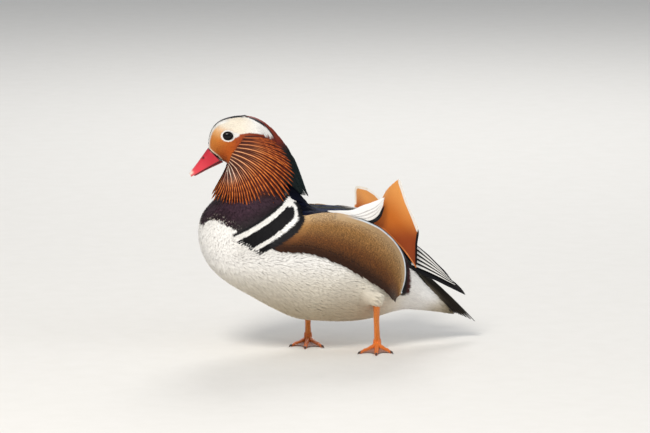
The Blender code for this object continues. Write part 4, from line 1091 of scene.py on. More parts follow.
def side_table():
    """How far to the side the coat lies at each place of the head's plane, or below zero where it doesn't."""
    table = np.full((len(SIDE_X), len(SIDE_Z)), -1.0)
    for i, hx in enumerate(SIDE_X):
        for j, z in enumerate(SIDE_Z):
            origin = turned(hx, 90.0, z)
            found, _, _, _ = SKIN_TREE.ray_cast(Vector(origin), Vector(turned(hx, 0.0, z) - origin).normalized(), 90.0)
            if found is not None:
                table[i, j] = 90.0 - np.linalg.norm(np.array(found) - origin)
    return table


SIDE_TABLE = side_table()


def head_side(hx, z):
    """How far to the side the coat lies, between the table's places."""
    row = np.clip((hx - SIDE_X[0]) / (SIDE_X[1] - SIDE_X[0]), 0, len(SIDE_X) - 1.001)
    column = np.clip((z - SIDE_Z[0]) / (SIDE_Z[1] - SIDE_Z[0]), 0, len(SIDE_Z) - 1.001)
    i, j = row.astype(int), column.astype(int)
    return between(SIDE_TABLE, i, j, j + 1, row - i, column - j)


HACKLE_LOOK = feather_material("hackles", 0.5, barbs=60.0, slant=3.0, bump=0.35, spread=0.10)
HACKLE_ROOTS = np.array([
    (-25.5, 230.0), (-29.5, 224.0), (-34.0, 217.5), (-38.5, 211.5), (-40.5, 206.0), (-42.0, 200.8), (-43.5, 197.5),
])


def ruff_rim(angle, reach):
    """The tips of the hackles in the head's plane."""
    longer = np.interp(angle, (-24.0, 0.0, 26.0), (1.0, 1.04, 1.02))
    radius, turn = reach * np.interp(-angle, -RUFF[:, 0], RUFF[:, 1]) * longer, np.radians(angle)
    return np.stack([RUFF_CENTRE[0] + radius * np.cos(turn), RUFF_CENTRE[1] + radius * np.sin(turn)], -1)


def ruff_side(flat):
    """How far out the ruff's surface stands at places of the head's plane."""
    hx, z = flat[..., 0], flat[..., 1]
    dx, dz = hx - RUFF_CENTRE[0], z - RUFF_CENTRE[1]
    angle = np.degrees(np.arctan2(dz, dx))
    angle = np.where(angle > 90, angle - 360, angle)
    angle = np.clip(angle, -122.0, 26.0)
    reach, wide = (np.interp(-angle, -RUFF[:, 0], RUFF[:, c]) for c in (1, 2))
    share = np.clip(np.hypot(dx, dz) / reach, 0, 1.05)
    free = 15.0 + (wide - 15.0) * share + 2.0 * np.sin(math.pi * np.clip(share, 0, 1))
    return np.maximum(head_side(hx, z) + 0.4, free * step(share, 0.05, 0.3))


def make_ruff(side):
    """Long pointed hackles with bright shafts, fanning over the cheek in layers."""
    rng = np.random.default_rng(51 + side)
    name = SIDE_NAMES[side]
    coat = Coat(f"ruff_hackles_{name}", HACKLE_LOOK, "ruff_feathers", (f"ruff_{name}",))
    stations = 14
    s = np.linspace(0, 1, stations)
    layers = ((1.00, 0.2), (0.93, 0.7), (0.84, 1.2), (0.72, 1.6), (0.58, 1.9), (0.43, 2.1), (0.29, 2.2))
    shares = (-0.5, -0.30, -0.18, -0.09, 0.09, 0.18, 0.30, 0.5)
    count = 39
    bold = (np.arange(count) % 3 == 1)[:, None]
    k = (np.arange(count) + 0.5) / count
    angle = 27.0 - 149.0 * k
    roots = curve(HACKLE_ROOTS, np.clip(k * 1.15, 0, 1) * (len(HACKLE_ROOTS) - 1))
    tips = ruff_rim(angle, rng.uniform(0.96, 1.01, count))
    first = np.radians(np.interp(k, (0, 0.25, 0.55, 0.8, 1.0), (6.0, 2.0, -22.0, -62.0, -108.0)))
    pull = 0.42 * np.linalg.norm(tips - roots, axis=-1)
    hold = roots + np.stack([np.cos(first), np.sin(first)], -1) * pull[:, None]
    spacing = np.linalg.norm(np.gradient(tips, axis=0), axis=-1)
    for number, (reach, lift) in enumerate(layers):
        u = (s * reach)[None, :, None]
        flat = (1 - u) ** 2 * roots[:, None] + 2 * u * (1 - u) * hold[:, None] + u**2 * tips[:, None]
        flat = flat + rng.normal(0, 0.22, (count, 1, 2)) * u
        rise = 0.15 + lift * np.minimum(1.0, s * 2.5) * (1 - 0.4 * s)
        out = ruff_side(flat) + rise[None]
        path = turned(flat[..., 0], side * out, flat[..., 1])
        sideways = turned(0.0, side, 0.0) - turned(0.0, 0.0, 0.0)
        ups = np.broadcast_to(sideways, path.shape).copy()
        ups[..., 2] += 0.10
        taper = np.interp(s, (0, 0.6, 0.85, 0.95, 1.0), (1.0, 1.0, 0.66, 0.34, 0.05))
        root_wide = np.where(bold, 2.0, 0.6)
        widths = (root_wide + (1.22 * spacing[:, None] - root_wide) * u[..., 0] ** 0.8) * taper
        down, tip = u[..., 0] + 0 * k[:, None], step(s, 0.75, 1.0)[None]
        front = step(k, 0.45, 0.85)[:, None]
        top = step(k, 0.34, 0.08)[:, None]
        edge = mix(rgb("380c07"), rgb("1d0605"), 0.5 * down + 0.4 * front)
        vane = mix(mix(rgb("8d3310"), rgb("9c3c10"), down), rgb("79290f"), 0.8 * top)
        shaft = mix(mix(rgb("f0a357"), rgb("f08228"), down), rgb("b8521d"), 0.75 * top)
        shaft = mix(shaft, rgb("fff0dc"), (0.2 + 0.8 * front) * step(down, 0.60, 0.15) * (1 - 0.8 * top))
        shaft = mix(shaft, vane, 0.35 * tip)
        faint = np.where(bold, 0.0, 0.9) * step(down, 0.62, 0.22)
        shaft, vane = mix(shaft, edge, faint), mix(vane, edge, 0.8 * faint)
        half_way = edge * 0.55 + vane * 0.45
        colours = np.stack([edge, half_way, vane, shaft, shaft, vane, half_way, edge], 2)
        colours = colours * rng.uniform(0.9, 1.1, (count, 1, 1, 1))
        root = np.stack([(0.5 + side * -0.20) + 0.1 * (k - 0.5), np.full(count, 0.16 + 0.02 * number)], -1)
        coat.add(path, ups, widths, colours, root, crown=0.22, thick=0.22, shares=shares)
    coat.flush()


# Crest

def crest_place(s, depth, y):
    point = by_length(CREST_OUTER, s) * (1 - depth)[..., None] + by_length(CREST_INNER, s) * depth[..., None]
    grow = 2.2 * np.sin(math.pi * np.clip((s - 0.22) / 0.72, 0, 1)) * np.clip(1 - depth, 0, 1)
    return turned(point[..., 0] + 0.85 * grow, y, point[..., 1] + 0.5 * grow)


CREST_LOOK = feather_material("crest_vanes", 0.42, 0.0, barbs=60.0, slant=3.0, bump=0.3, spread=0.14, gloss=0.3)


def make_crest():
    """The long crown and nape feathers: maroon above, green-black down the nape."""
    rng = np.random.default_rng(61)
    coat = Coat("crest_vanes", CREST_LOOK, "crest_feathers", ("crest",))
    stations = 12
    s = np.linspace(0, 1, stations)
    tiers = ((0.00, 0.30, 36, 6.5), (0.06, 0.46, 40, 8.0), (0.14, 0.60, 42, 9.0), (0.24, 0.74, 42, 9.0),
             (0.34, 0.86, 40, 8.5), (0.44, 0.94, 46, 7.5), (0.54, 1.00, 56, 6.5))
    for number, (start, end, count, half) in enumerate(tiers):
        share = np.linspace(-1, 1, count) + rng.normal(0, 0.03, count)
        reach = end * (1 - 0.05 * np.abs(share)) * rng.uniform(0.97, 1.0, count)
        along = start + (reach - start)[:, None] * s
        side_on = np.abs(share)[:, None]
        sink = 0.02 + side_on * (0.42 + 0.8 * np.maximum(step(along, 0.50, 0.78), side_on**2)) + 0.035 * (6 - number)
        root = 0.9 * np.clip(1 - s * 5.0, 0, 1)[None]
        depth = np.clip(np.maximum(sink, root), 0, 1.5) + np.zeros_like(along)
        y = share[:, None] * (half + 1.5 * np.sin(math.pi * s)[None] - 3.5 * along)
        path = crest_place(np.clip(along, 0, 1), depth, y)
        ahead = crest_place(np.clip(along + 0.03, 0, 1), depth, y) - crest_place(np.clip(along - 0.03, 0, 1), depth, y)
        sideways = np.broadcast_to(turned(0.0, 1.0, 0.0) - turned(0.0, 0.0, 0.0), ahead.shape)
        up = unit(np.cross(ahead, sideways))
        up = np.where(up[..., :1] < 0, -up, up)
        up = unit(up + sideways * (0.75 * share[:, None, None]))
        maroon = mix(rgb("84280f"), rgb("57180e"), s[None] * 0.7 + np.zeros_like(along))
        green = mix(rgb("070f11"), rgb("0e2324"), 0.5 + 0.5 * np.sin(9 * along))
        black = rgb("110f17")
        nape = step(along, 0.44, 0.56)
        tone = mix(maroon, green, nape)
        rusty = step(side_on, 0.6, 0.95) * step(along, 0.34, 0.44) * step(along, 0.70, 0.56) * 0.8
        tone = mix(tone, rgb("7a2d12"), rusty)
        tone = mix(tone, black, step(along, 0.13, 0.07))
        hx, _, high = head_frame(path)
        over = high - line_at(BROW_TOP, hx)
        brow = step(np.abs(share)[:, None], 0.25, 0.4) * step(hx, -30, -27) * (hx < 6.5)
        tone = mix(tone, black, step(np.abs(over), 1.5, 1.0) * brow)
        tone = mix(tone, WHITE * 0.96, step(over, -0.8, -1.5) * brow * (high > line_at(BROW_LOW, hx)))
        across = np.array((0.85, 1.0, 1.12, 1.0, 0.85))[None, None, :, None]
        colours = tone[:, :, None] * across * rng.uniform(0.9, 1.08, (count, 1, 1, 1))
        profile = np.interp(s, (0, 0.15, 0.55, 0.85, 1.0), (0.15, 0.8, 1.0, 0.85, 0.14))
        places = np.stack([0.25 + 0.05 * share, np.full(count, 0.14 + 0.02 * number)], -1)
        coat.add(path, up, np.full((count, 1), 2.8) * profile, colours, places, crown=0.22, columns=5, thick=0.2)
    coat.flush()


for which in (LEFT, RIGHT):
    make_flank(which)
    make_ruff(which)
make_crest()


# Sails, back, wings and tail

SAIL_LOOK = feather_material("sail_vane", 0.5, barbs=95.0, slant=0.0, bump=0.35, spread=0.06)
WING_LOOK = feather_material("wing_vanes", 0.48, 0.0, barbs=70.0, slant=4.0, bump=0.3, spread=0.12, gloss=0.15)
BACK_LOOK = feather_material("back_vanes", 0.65, 0.0, barbs=70.0, slant=4.0, bump=0.3, spread=0.12, gloss=0.04)
SCAPULAR_LOOK = feather_material("scapular_vanes", 0.5, barbs=70.0, slant=4.0, bump=0.3, spread=0.05)


def sail_points(side, s, v):
    """Points of one sail at shares along its foot and up to its free edge."""
    base, outer = curve(SAIL_BASE, s * (len(SAIL_BASE) - 1)), curve(SAIL_OUTER[side], s * (len(SAIL_OUTER[side]) - 1))
    flat = base + (outer - base) * v[..., None]
    rise = np.maximum(0.0, flat[..., 1] - base[..., 1])
    samples = np.linspace(0, 1, 25)
    roots = []
    for one in samples:
        x, z = curve(SAIL_BASE, one * (len(SAIL_BASE) - 1))
        t, angle = side_place(x, z, RIGHT)
        y, slope = abs(at(COAT, t, angle)[1]), abs(at(NORMALS, t, angle)[1])
        roots.append(max(y + (WING_DEPTH - 0.4) / max(slope, 0.2), SAIL_LEAST_Y))
    root = np.interp(s, samples, roots)
    cup = 1.5 * np.sin(math.pi * v) + 0.35 * np.sin(s * 26.0) * v * (1 - v)
    y = side * (root + SAIL_LEAN[side] * rise - cup)
    return np.stack([flat[..., 0], y, flat[..., 1]], -1), np.linalg.norm(outer - base, axis=-1)


def make_sail(side):
    """One raised sail feather: barbs rise from the shaft at its foot to a pale hind rim."""
    rng = np.random.default_rng(71 + side)
    high, wide = 240, 72
    s, v = np.meshgrid(np.linspace(0, 1, high), 1 - (1 - np.linspace(0, 1, wide)) ** 1.6, indexing="ij")
    points, reach = sail_points(side, s, v)
    along, across = np.gradient(points, axis=0), np.gradient(points, axis=1)
    normals = unit(np.cross(along, across)) * side * -1
    normals = normals * np.sign((normals[..., 1] * side).mean())
    ragged = rng.normal(0, 1.0, high)
    ragged = np.convolve(ragged, (0.25, 0.5, 0.25), "same") * 0.28
    up = unit(points[:, -1] - points[:, -2])
    points = points + up[:, None] * (ragged[:, None] * step(v, 0.8, 1.0) * step(reach, 4, 12))[..., None]
    z = points[..., 2]
    height = z - curve(SAIL_BASE, s * 5)[..., 1]
    tall = 58.0 if side == LEFT else 36.0
    colour = mix(rgb("9c4212"), rgb("d2701f"), step(z, 112, 142))
    colour = mix(colour, rgb("f7a555"), step(height, tall * 0.30, tall * 0.92))
    colour = mix(colour, rgb("b9531a"), 0.5 * step(s, 0.42, 0.2) * step(height, 22, 4))
    colour = mix(colour, rgb("853310"), 0.6 * step(s, 0.75, 1.0))
    # The far sail's colours are painted darker: painted shade
    if side == RIGHT:
        colour = colour * 0.86
    # Painted light: the upper front of the sail is painted paler
    colour = mix(colour, rgb("f4b77c"), 0.6 * step(s, 0.36, 0.2) * step(v, 0.6, 1.0))
    edge = SAIL_OUTER[side]
    hind = line_distance(edge[5:10], points[..., 0], z)
    colour = mix(colour, rgb("fdf6ec"), step(hind, 2.7, 2.0) * step(s, 0.42, 0.45))
    if side == RIGHT:
        colour = mix(colour, CREAM, step(line_distance(edge[1:7], points[..., 0], z), 2.2, 1.4))
    colour = mix(colour, BLACK, step(line_distance(edge[9:], points[..., 0], z), 1.9, 1.4) * step(s, 0.80, 0.825))
    colour = mix(colour, rgb("f0a35c"), step(v * reach, 1.3, 0.7) * step(s, 0.2, 0.3))
    colours = colour * (1 + 0.06 * np.sin(s * 400.0 + 3 * np.sin(v * 9)))[..., None]
    thick = (0.16 + 0.34 * (1 - v) ** 2)[..., None]
    t, angle = np.full(s.shape, 24.0 + 3.5 * s), np.full(s.shape, math.pi / 2 - side * (0.55 + 0.25 * (1 - v)))
    sail = slab(f"sail_vane_{SIDE_NAMES[side]}", points + normals * thick, points - normals * thick, colours, SAIL_LOOK,
                bake_place(t, angle), np.stack([np.full(s.shape, 0.5), s * 1.3], -1))
    dress(sail, "sail_feathers", f"sail_{SIDE_NAMES[side]}")
    shaft_line = points[:, 0] + normals[:, 0] * 0.35
    tube(f"sail_shaft_{SIDE_NAMES[side]}", shaft_line, np.interp(np.linspace(0, 1, high), (0, 1), (0.75, 0.3)),
         np.broadcast_to(rgb("d9702c"), (high, 3)), SAIL_LOOK, "sail_feathers", 8,
         bake=(0.75, 0.25 if side == RIGHT else 0.32))


def tube(name, points, radii, colours, look, slot, count=12, bake=(0.5, 0.9), flat=1.0, floor=None):
    """A closed tapered tube along points, with its own small patches on the bake map."""
    points, radii = np.asarray(points, float), np.asarray(radii, float)
    along = unit(np.gradient(points, axis=0))
    side = np.cross(along, (0.0, 0.0, 1.0))
    side = np.where(np.linalg.norm(side, axis=-1, keepdims=True) < 0.15, np.array((0.0, 1.0, 0.0)), side)
    side = unit(side - along * (side * along).sum(-1, keepdims=True))
    up = np.cross(side, along)
    angle = 2 * math.pi * np.arange(count) / count
    ring = (points[:, None] + side[:, None] * (np.cos(angle)[None, :, None] * radii[:, None, None] * flat)
            + up[:, None] * (np.sin(angle)[None, :, None] * radii[:, None, None]))
    if floor is not None:
        ring[..., 2] = np.maximum(ring[..., 2], floor)
    rows = len(points)
    full = np.concatenate([ring.reshape(-1, 3), points[:1], points[-1:]])
    colour = with_ends(np.repeat(np.asarray(colours, float)[:, None], count, 1).reshape(-1, 3))
    place = np.broadcast_arrays(bake[0] + 0.02 * np.cos(angle)[None], bake[1] + 0.06 * np.linspace(0, 1, rows)[:, None])
    run = np.concatenate([[0], np.cumsum(np.linalg.norm(np.diff(points, axis=0), axis=-1))]) * VANE_SCALE
    vane = np.broadcast_arrays((angle / (2 * math.pi))[None], run[:, None])
    maps = {label: with_ends(np.stack(pair, -1).reshape(-1, 2)) for label, pair in (("OFBake", place), ("Vane", vane))}
    return dress(solid_mesh(name, full, tube_faces(rows, count), colour, look, maps), slot)


def solid_mesh(name, points, quads, colours, look, maps):
    """A mesh whose four-cornered faces may repeat their last corner."""
    mesh = bpy.data.meshes.new(name)
    faces = [tuple(q[:3]) if q[2] == q[3] else tuple(q) for q in quads.tolist()]
    mesh.from_pydata((points * MM).tolist(), [], faces)
    return finished(name, mesh, colours, look, maps, np.concatenate([np.array(f) for f in faces]))


VANE_SHAPE = ((0, 0.12, 0.35, 0.7, 0.9, 0.97, 1.0), (0.45, 0.8, 1.0, 0.97, 0.72, 0.42, 0.10))
POINTED = ((0, 0.12, 0.35, 0.6, 0.85, 1.0), (0.5, 0.85, 1.0, 0.92, 0.5, 0.08))


def make_back(side):
    """Mantle, scapulars and wing coverts in overlapping rows on the back."""
    rng = np.random.default_rng(81 + side)
    coat = Coat(f"back_vanes_{SIDE_NAMES[side]}", BACK_LOOK, "wing_feathers", (f"wing_{SIDE_NAMES[side]}",))
    stations = 12
    s = np.linspace(0, 1, stations)
    rows = []
    for number, height in enumerate((57.0, 61.0, 65.5, 70.5, 76.0, 82.0, 88.0)):
        for x in np.arange(-64.0 + (4.0 if number % 2 else 0.0), 62.0 - (16 if number < 2 else 0), 8.0):
            edge = angle_edge(x)
            if height < edge + 1.5 or (x < -51 and height < 67):
                continue
            rows.append((x, height, number))
    for x in np.arange(62.0, 92.0, 5.0):
        for number, height in enumerate((58.0, 68.0, 78.0, 87.0)):
            rows.append((x, height, 7 + number))
    spots = np.array([round_place(x, height, side) for x, height, _ in rows])
    kind = np.array([n for _, _, n in rows])
    x = np.array([r[0] for r in rows])
    good = np.isfinite(spots[:, 0])
    spots, kind, x = spots[good], kind[good], x[good]
    n = len(spots)
    length = np.where(kind < 7, 25.0, 20.0) * rng.uniform(0.92, 1.08, n)
    level = np.interp(kind, (0, 6, 7, 10), (2.9, 2.0, 0.6, 0.6))
    lifts = (0.2 + (level[:, None] + rng.uniform(0, 0.5, n)[:, None]) * np.minimum(1, s * 2.2)) * np.ones((n, stations))
    heading = np.tile((1.0, -side * 0.02, -0.1), (n, 1)) + 0.03 * rng.normal(size=(n, 3))
    path, ups, _, _ = walk(spots[:, 0], spots[:, 1], unit(heading), length, lifts)
    path = path + unit(np.cross(np.gradient(path, axis=1), ups)) * (rng.normal(0, 0.3, (n, 1, 1)))
    inner = step(kind, 4.4, 5.6)[:, None]
    deep = mix(rgb("090a12"), rgb("10142a"), rng.random(n))
    blue = mix(deep, mix(rgb("141a34"), rgb("37446c"), rng.random(n) ** 2), step(x, -50, -34) * step(x, 40, 20))
    brown = mix(rgb("2c2416"), rgb("1f2019"), rng.random(n))
    core = mix(deep[:, None], brown[:, None], inner)
    sheen = mix(blue[:, None], mix(rgb("4c4230"), rgb("34483e"), 0.5)[None, None], inner)
    tip = step(s[None], 0.82, 0.97)
    outer = mix(sheen, core, tip)
    core = np.broadcast_to(core, outer.shape)
    mid = core * 0.6 + sheen * 0.4
    columns = np.stack([core, mid, outer, core * 0.7, outer, mid, core], 2) * rng.uniform(0.85, 1.15, (n, 1, 1, 1))
    coat.add(path, ups, np.full((n, 1), 12.0) * np.interp(s, *VANE_SHAPE), columns, bake_place(*spots.T), crown=0.10, thick=0.3, shares=(-0.5, -0.42, -0.2, 0.0, 0.2, 0.42, 0.5))
    coat.flush()
    white_line(side)


def angle_edge(x):
    """The height angle of the flank's upper edge at x."""
    found = side_place(x, float(line_at(FLANK_TOP[:11], x)), RIGHT)
    if not np.isfinite(found[0]):
        return 60.0
    p = at(COAT, *found)
    return math.degrees(math.atan2(p[2] - axis_z(x), abs(p[1])))


def white_line(side):
    """The pale outer scapulars: long white vanes with black outer webs that rise before the sail."""
    coat = Coat(f"scapulars_{SIDE_NAMES[side]}", SCAPULAR_LOOK, "wing_feathers")
    lines = (((-18.0, 149.6), (-6.0, 148.0), (8.0, 147.8), (20.0, 152.4), (30.0, 156.4), (40.0, 163.0)),
             ((-9.0, 147.6), (2.0, 146.2), (13.0, 146.6), (22.0, 149.6), (30.5, 153.6), (39.6, 161.4)),
             ((-2.0, 146.2), (7.0, 144.8), (16.0, 144.4), (24.0, 146.4), (31.0, 150.6), (39.2, 159.4)),
             ((4.0, 144.8), (11.0, 143.4), (19.0, 142.4), (26.0, 143.6), (32.0, 147.6), (38.8, 157.2)),
             ((9.0, 142.6), (17.0, 140.6), (25.0, 138.6), (31.0, 140.4), (35.4, 144.9), (40.0, 154.6)))
    tones = ("fcfaf7", "faf7f3", "f7f4ef", "f4f0ea", "08070a")
    stations = 16
    s = np.linspace(0, 1, stations)
    for number in range(len(lines) - 1, -1, -1):
        flat = curve(np.array(lines[number]), s * 5)
        y = np.interp(flat[:, 0], (-40, -20, 5, 25, 42), (24.0, 28.0, 34.0, 38.2, 40.2))
        y = y - 0.7 * (len(lines) - 1 - number) * (1 - s)
        z = flat[:, 1]
        if side == RIGHT:
            z = np.minimum(z, 146.0 + (z - 146.0) * 0.12)
            y = np.interp(flat[:, 0], (-40, -20, 5, 25, 42), (22.0, 24.0, 26.0, 27.0, 27.0))
            z = np.maximum(z - np.interp(flat[:, 0], (10, 42), (0, 8)), 0)
        surface = []
        for x_, y_ in zip(flat[:, 0], y):
            found = cast((x_, side * y_, 220.0), (0, 0, -1))
            surface.append(at(COAT, *found)[2] + 2.6 if found else 0)
        z = np.maximum(z, np.array(surface))
        path = np.stack([flat[:, 0], side * y, z], -1)[None]
        lean = 0.45 if side == LEFT else 1.4
        ups = np.broadcast_to(unit(np.array((0.0, side * 0.9, lean))), path.shape)
        tone = rgb(tones[number])
        across = np.array((0.97, 0.99, 1.0, 0.95, 1.0, 0.99, 0.97))[None, None, :, None]
        colours = tone * across * np.ones((1, stations, 7, 1))
        shape = ((0, 0.2, 0.55, 0.8, 1.0), (0.12, 0.6, 1.0, 0.8, 0.08))
        coat.add(path, ups, np.full((1, 1), 7.8 if number < 4 else 5.0) * np.interp(s, *shape), colours,
                 back_place(21.0 + number, side, 0.5), crown=0.08, thick=0.35,
                 shares=(-0.5, -0.36, -0.34, 0.0, 0.34, 0.36, 0.5))
    coat.flush()


def make_edge_vanes(side):
    """The dark tertials and secondaries that show between the flank and the sail."""
    coat = Coat(f"secondaries_{SIDE_NAMES[side]}", WING_LOOK, "wing_feathers")
    stations = 18
    s = np.linspace(0, 1, stations)
    plans = ((0.30, 0.985, 2.0, 2.6, 6.0), (0.36, 0.955, 4.6, 2.3, 6.5), (0.44, 0.925, 7.2, 2.0, 6.5),
             (0.52, 0.90, 9.6, 1.6, 6.0), (0.60, 0.875, 11.6, 1.2, 5.0))
    for number, (start, end, off, lift, wide) in enumerate(plans[::-1]):
        along = start + (end - start) * s
        spots = by_length(FLANK_TOP, along)
        run = unit(by_length(FLANK_TOP, along + 0.01) - by_length(FLANK_TOP, along - 0.01))
        out = np.stack([-run[:, 1], run[:, 0]], -1)
        grow = off * step(s, -0.3, 0.45) * (1 - 0.35 * step(s, 0.7, 1.0))
        flat = spots + out * grow[:, None]
        places = np.array([side_place(x, z, RIGHT) for x, z in flat])
        bad = ~np.isfinite(places[:, 0])
        if bad.any():
            good = np.where(~bad)[0]
            for c in (0, 1):
                places[bad, c] = np.interp(np.where(bad)[0], good, places[good, c])
        t, angle = places[:, 0], places[:, 1]
        angle = angle if side == RIGHT else math.pi - angle
        ups = unit(at(NORMALS, t, angle))
        path = at(COAT, t, angle) + ups * (lift * np.minimum(1, s * 3))[:, None]
        black = rgb("0b0b10")
        slate = rgb("5c6878")
        wine = rgb("4e1b19")
        shine = step(s, 0.30, 0.55) * step(s, 0.85, 0.65) * (1.0 if number >= 2 else 0.3)
        body = mix(np.broadcast_to(black, (stations, 3)), slate, 0.55 * shine)
        outer = mix(body, wine, step(s, 0.6, 0.85) * (1.0 if number <= 2 else 0.2))
        inner = np.broadcast_to(black, (stations, 3))
        order = [inner, inner, body, body * 0.6, outer, outer, outer]
        if side == RIGHT:
            order = order[::-1]
        colours = np.stack(order, 1)[None]
        coat.add(path[None], ups[None], np.full((1, 1), wide) * np.interp(s, *POINTED), colours,
                 back_place(25.0, side, 0.9), crown=0.08, thick=0.3,
                 shares=(-0.5, -0.4, -0.15, 0.0, 0.15, 0.4, 0.5))
    coat.flush()


def make_primaries(side):
    """Flight feathers that reach back over the tail, dark with pale outer edges."""
    coat = Coat(f"primaries_{SIDE_NAMES[side]}", WING_LOOK, "wing_feathers")
    stations = 22
    s = np.linspace(0, 1, stations)
    out = unit(np.array((0.25, side * 0.80, 0.55)))
    gap = 4.8 * (1 - s) + 0.9
    for number, wide in enumerate((13.0, 9.0, 9.0, 9.0, 6.5, 3.8)):
        ahead = 0.0 if number == 0 else 9.0 + 3.4 * number
        tip = np.array((PRIMARY_TIP[0] - ahead, side * (PRIMARY_TIP[1] + 0.2 * ahead), PRIMARY_TIP[2] + 0.92 * ahead))
        root = np.array((74.0, side * 27.0, 83.0 + 5.0 * number))
        line = root + (tip - root) * s[:, None] + out * (0.5 * number + 0.4)
        down = unit(np.cross(out, tip - root)) * side
        down = down * np.sign(-down[2])
        shape = np.interp(s, (0, 0.1, 0.5, 0.8, 0.93, 1.0), (0.8, 1.0, 0.95, 0.7, 0.4, 0.05))
        path = line - down * (wide / 2 * shape)[:, None]
        path[:, 2] += 1.2 * np.sin(math.pi * s)
        shares = np.array((-0.5, -0.25, -0.02, 0.02, 0.12, 0.18, 0.24, 0.30, 0.36, 0.42, 0.46, 0.5))
        from_edge = (0.5 - shares)[None] * (wide * shape)[:, None]
        pale = step(from_edge, 0.50 * gap[:, None], 0.36 * gap[:, None]) * (number > 0)
        colours = mix(rgb("0a090c"), rgb("2c2523"), (np.abs(shares) < 0.05)[None] * np.ones_like(pale))
        colours = mix(colours, WHITE, pale)[None]
        if side == RIGHT:
            shares, colours = -shares[::-1], colours[:, :, ::-1]
        ups = np.broadcast_to(out, (1, stations, 3))
        coat.add(path[None], ups, np.full((1, 1), wide) * shape, colours,
                 back_place(26.5, side, 0.5), crown=0.10, thick=0.3, shares=shares)
    coat.flush()


def make_tail():
    """Tail feathers in pairs under the rump."""
    rng = np.random.default_rng(111)
    coat = Coat("tail_vanes", WING_LOOK, "tail_feathers", ("tail",))
    stations = 16
    s = np.linspace(0, 1, stations)
    along = unit(TAIL_TIP - TAIL_ROOT)
    up = unit(np.array((-along[2], 0.0, along[0])))
    for pair in np.linspace(5.2, 0.0, 9):
        for side in (LEFT, RIGHT):
            angle = math.radians(10.0 * pair + 5.0) * side
            out = np.array((0.0, math.sin(angle), 0.0)) + up * math.cos(angle)
            root = TAIL_ROOT + along * 6.0 - up * (16.4 + 0.2 * pair) + out * 16.4
            end = TAIL_TIP - along * (7.6 * pair) - up * (7.0 + 2.6 * pair) + out * (7.0 + 0.4 * pair)
            path = root + (end - root) * s[:, None] + out * (1.5 * 4 * s * (1 - s))[:, None]
            base = mix(rgb("2b241e"), rgb("1d1a17"), rng.random())
            under = step(pair, 2.0, 4.0) * step(s, 0.85, 0.35)
            body = mix(np.broadcast_to(base, (stations, 3)), rgb("7d725f"), under)
            rim = mix(body, rgb("5d5142"), np.full(stations, 0.6))
            colours = np.stack([rim, body, body, body * 0.6, body, body, rim], 1)[None]
            ups = np.broadcast_to(unit(out), (1, stations, 3))
            coat.add(path[None], ups, np.full((1, 1), 10.0) * np.interp(s, *POINTED), colours,
                     back_place(29.5, side, 0.3), crown=0.10, thick=0.3,
                     shares=(-0.5, -0.46, -0.2, 0.0, 0.2, 0.46, 0.5))
    coat.flush()


for which in (LEFT, RIGHT):
    make_back(which)
    make_edge_vanes(which)
    make_sail(which)
    make_primaries(which)
make_tail()


# Bill and eyes

BILL_LOOK = horn_material("bill_horn", 0.34, 700.0, 0.25, coat=0.35, spread=0.06)
LEG_LOOK = horn_material("leg_scales", 0.42, 520.0, 0.8, ridges=True, coat=0.12)
WEB_LOOK = horn_material("web_skin", 0.5, 900.0, 0.6, ridges=True)
CLAW_LOOK = horn_material("claw_horn", 0.35, 900.0, 0.2, coat=0.3)


def power(value, size):
    return np.sign(value) * np.abs(value) ** (2.0 / size)


def ring_solid(name, rings, colours, look, slot, bake):
    """A closed smooth body through rings of points."""
    rows, count = rings.shape[:2]
    full = np.concatenate([rings.reshape(-1, 3), rings[0].mean(0, keepdims=True), rings[-1].mean(0, keepdims=True)])
    colour = with_ends(np.asarray(colours).reshape(-1, 3))
    u, w = np.meshgrid(np.linspace(0, 1, rows), np.linspace(0, 1, count), indexing="ij")
    place = with_ends(np.stack([bake[0] + 0.08 * w, bake[1] + 0.08 * u], -1).reshape(-1, 2))
    return dress(solid_mesh(name, full, tube_faces(rows, count), colour, look, {"OFBake": place}), slot)


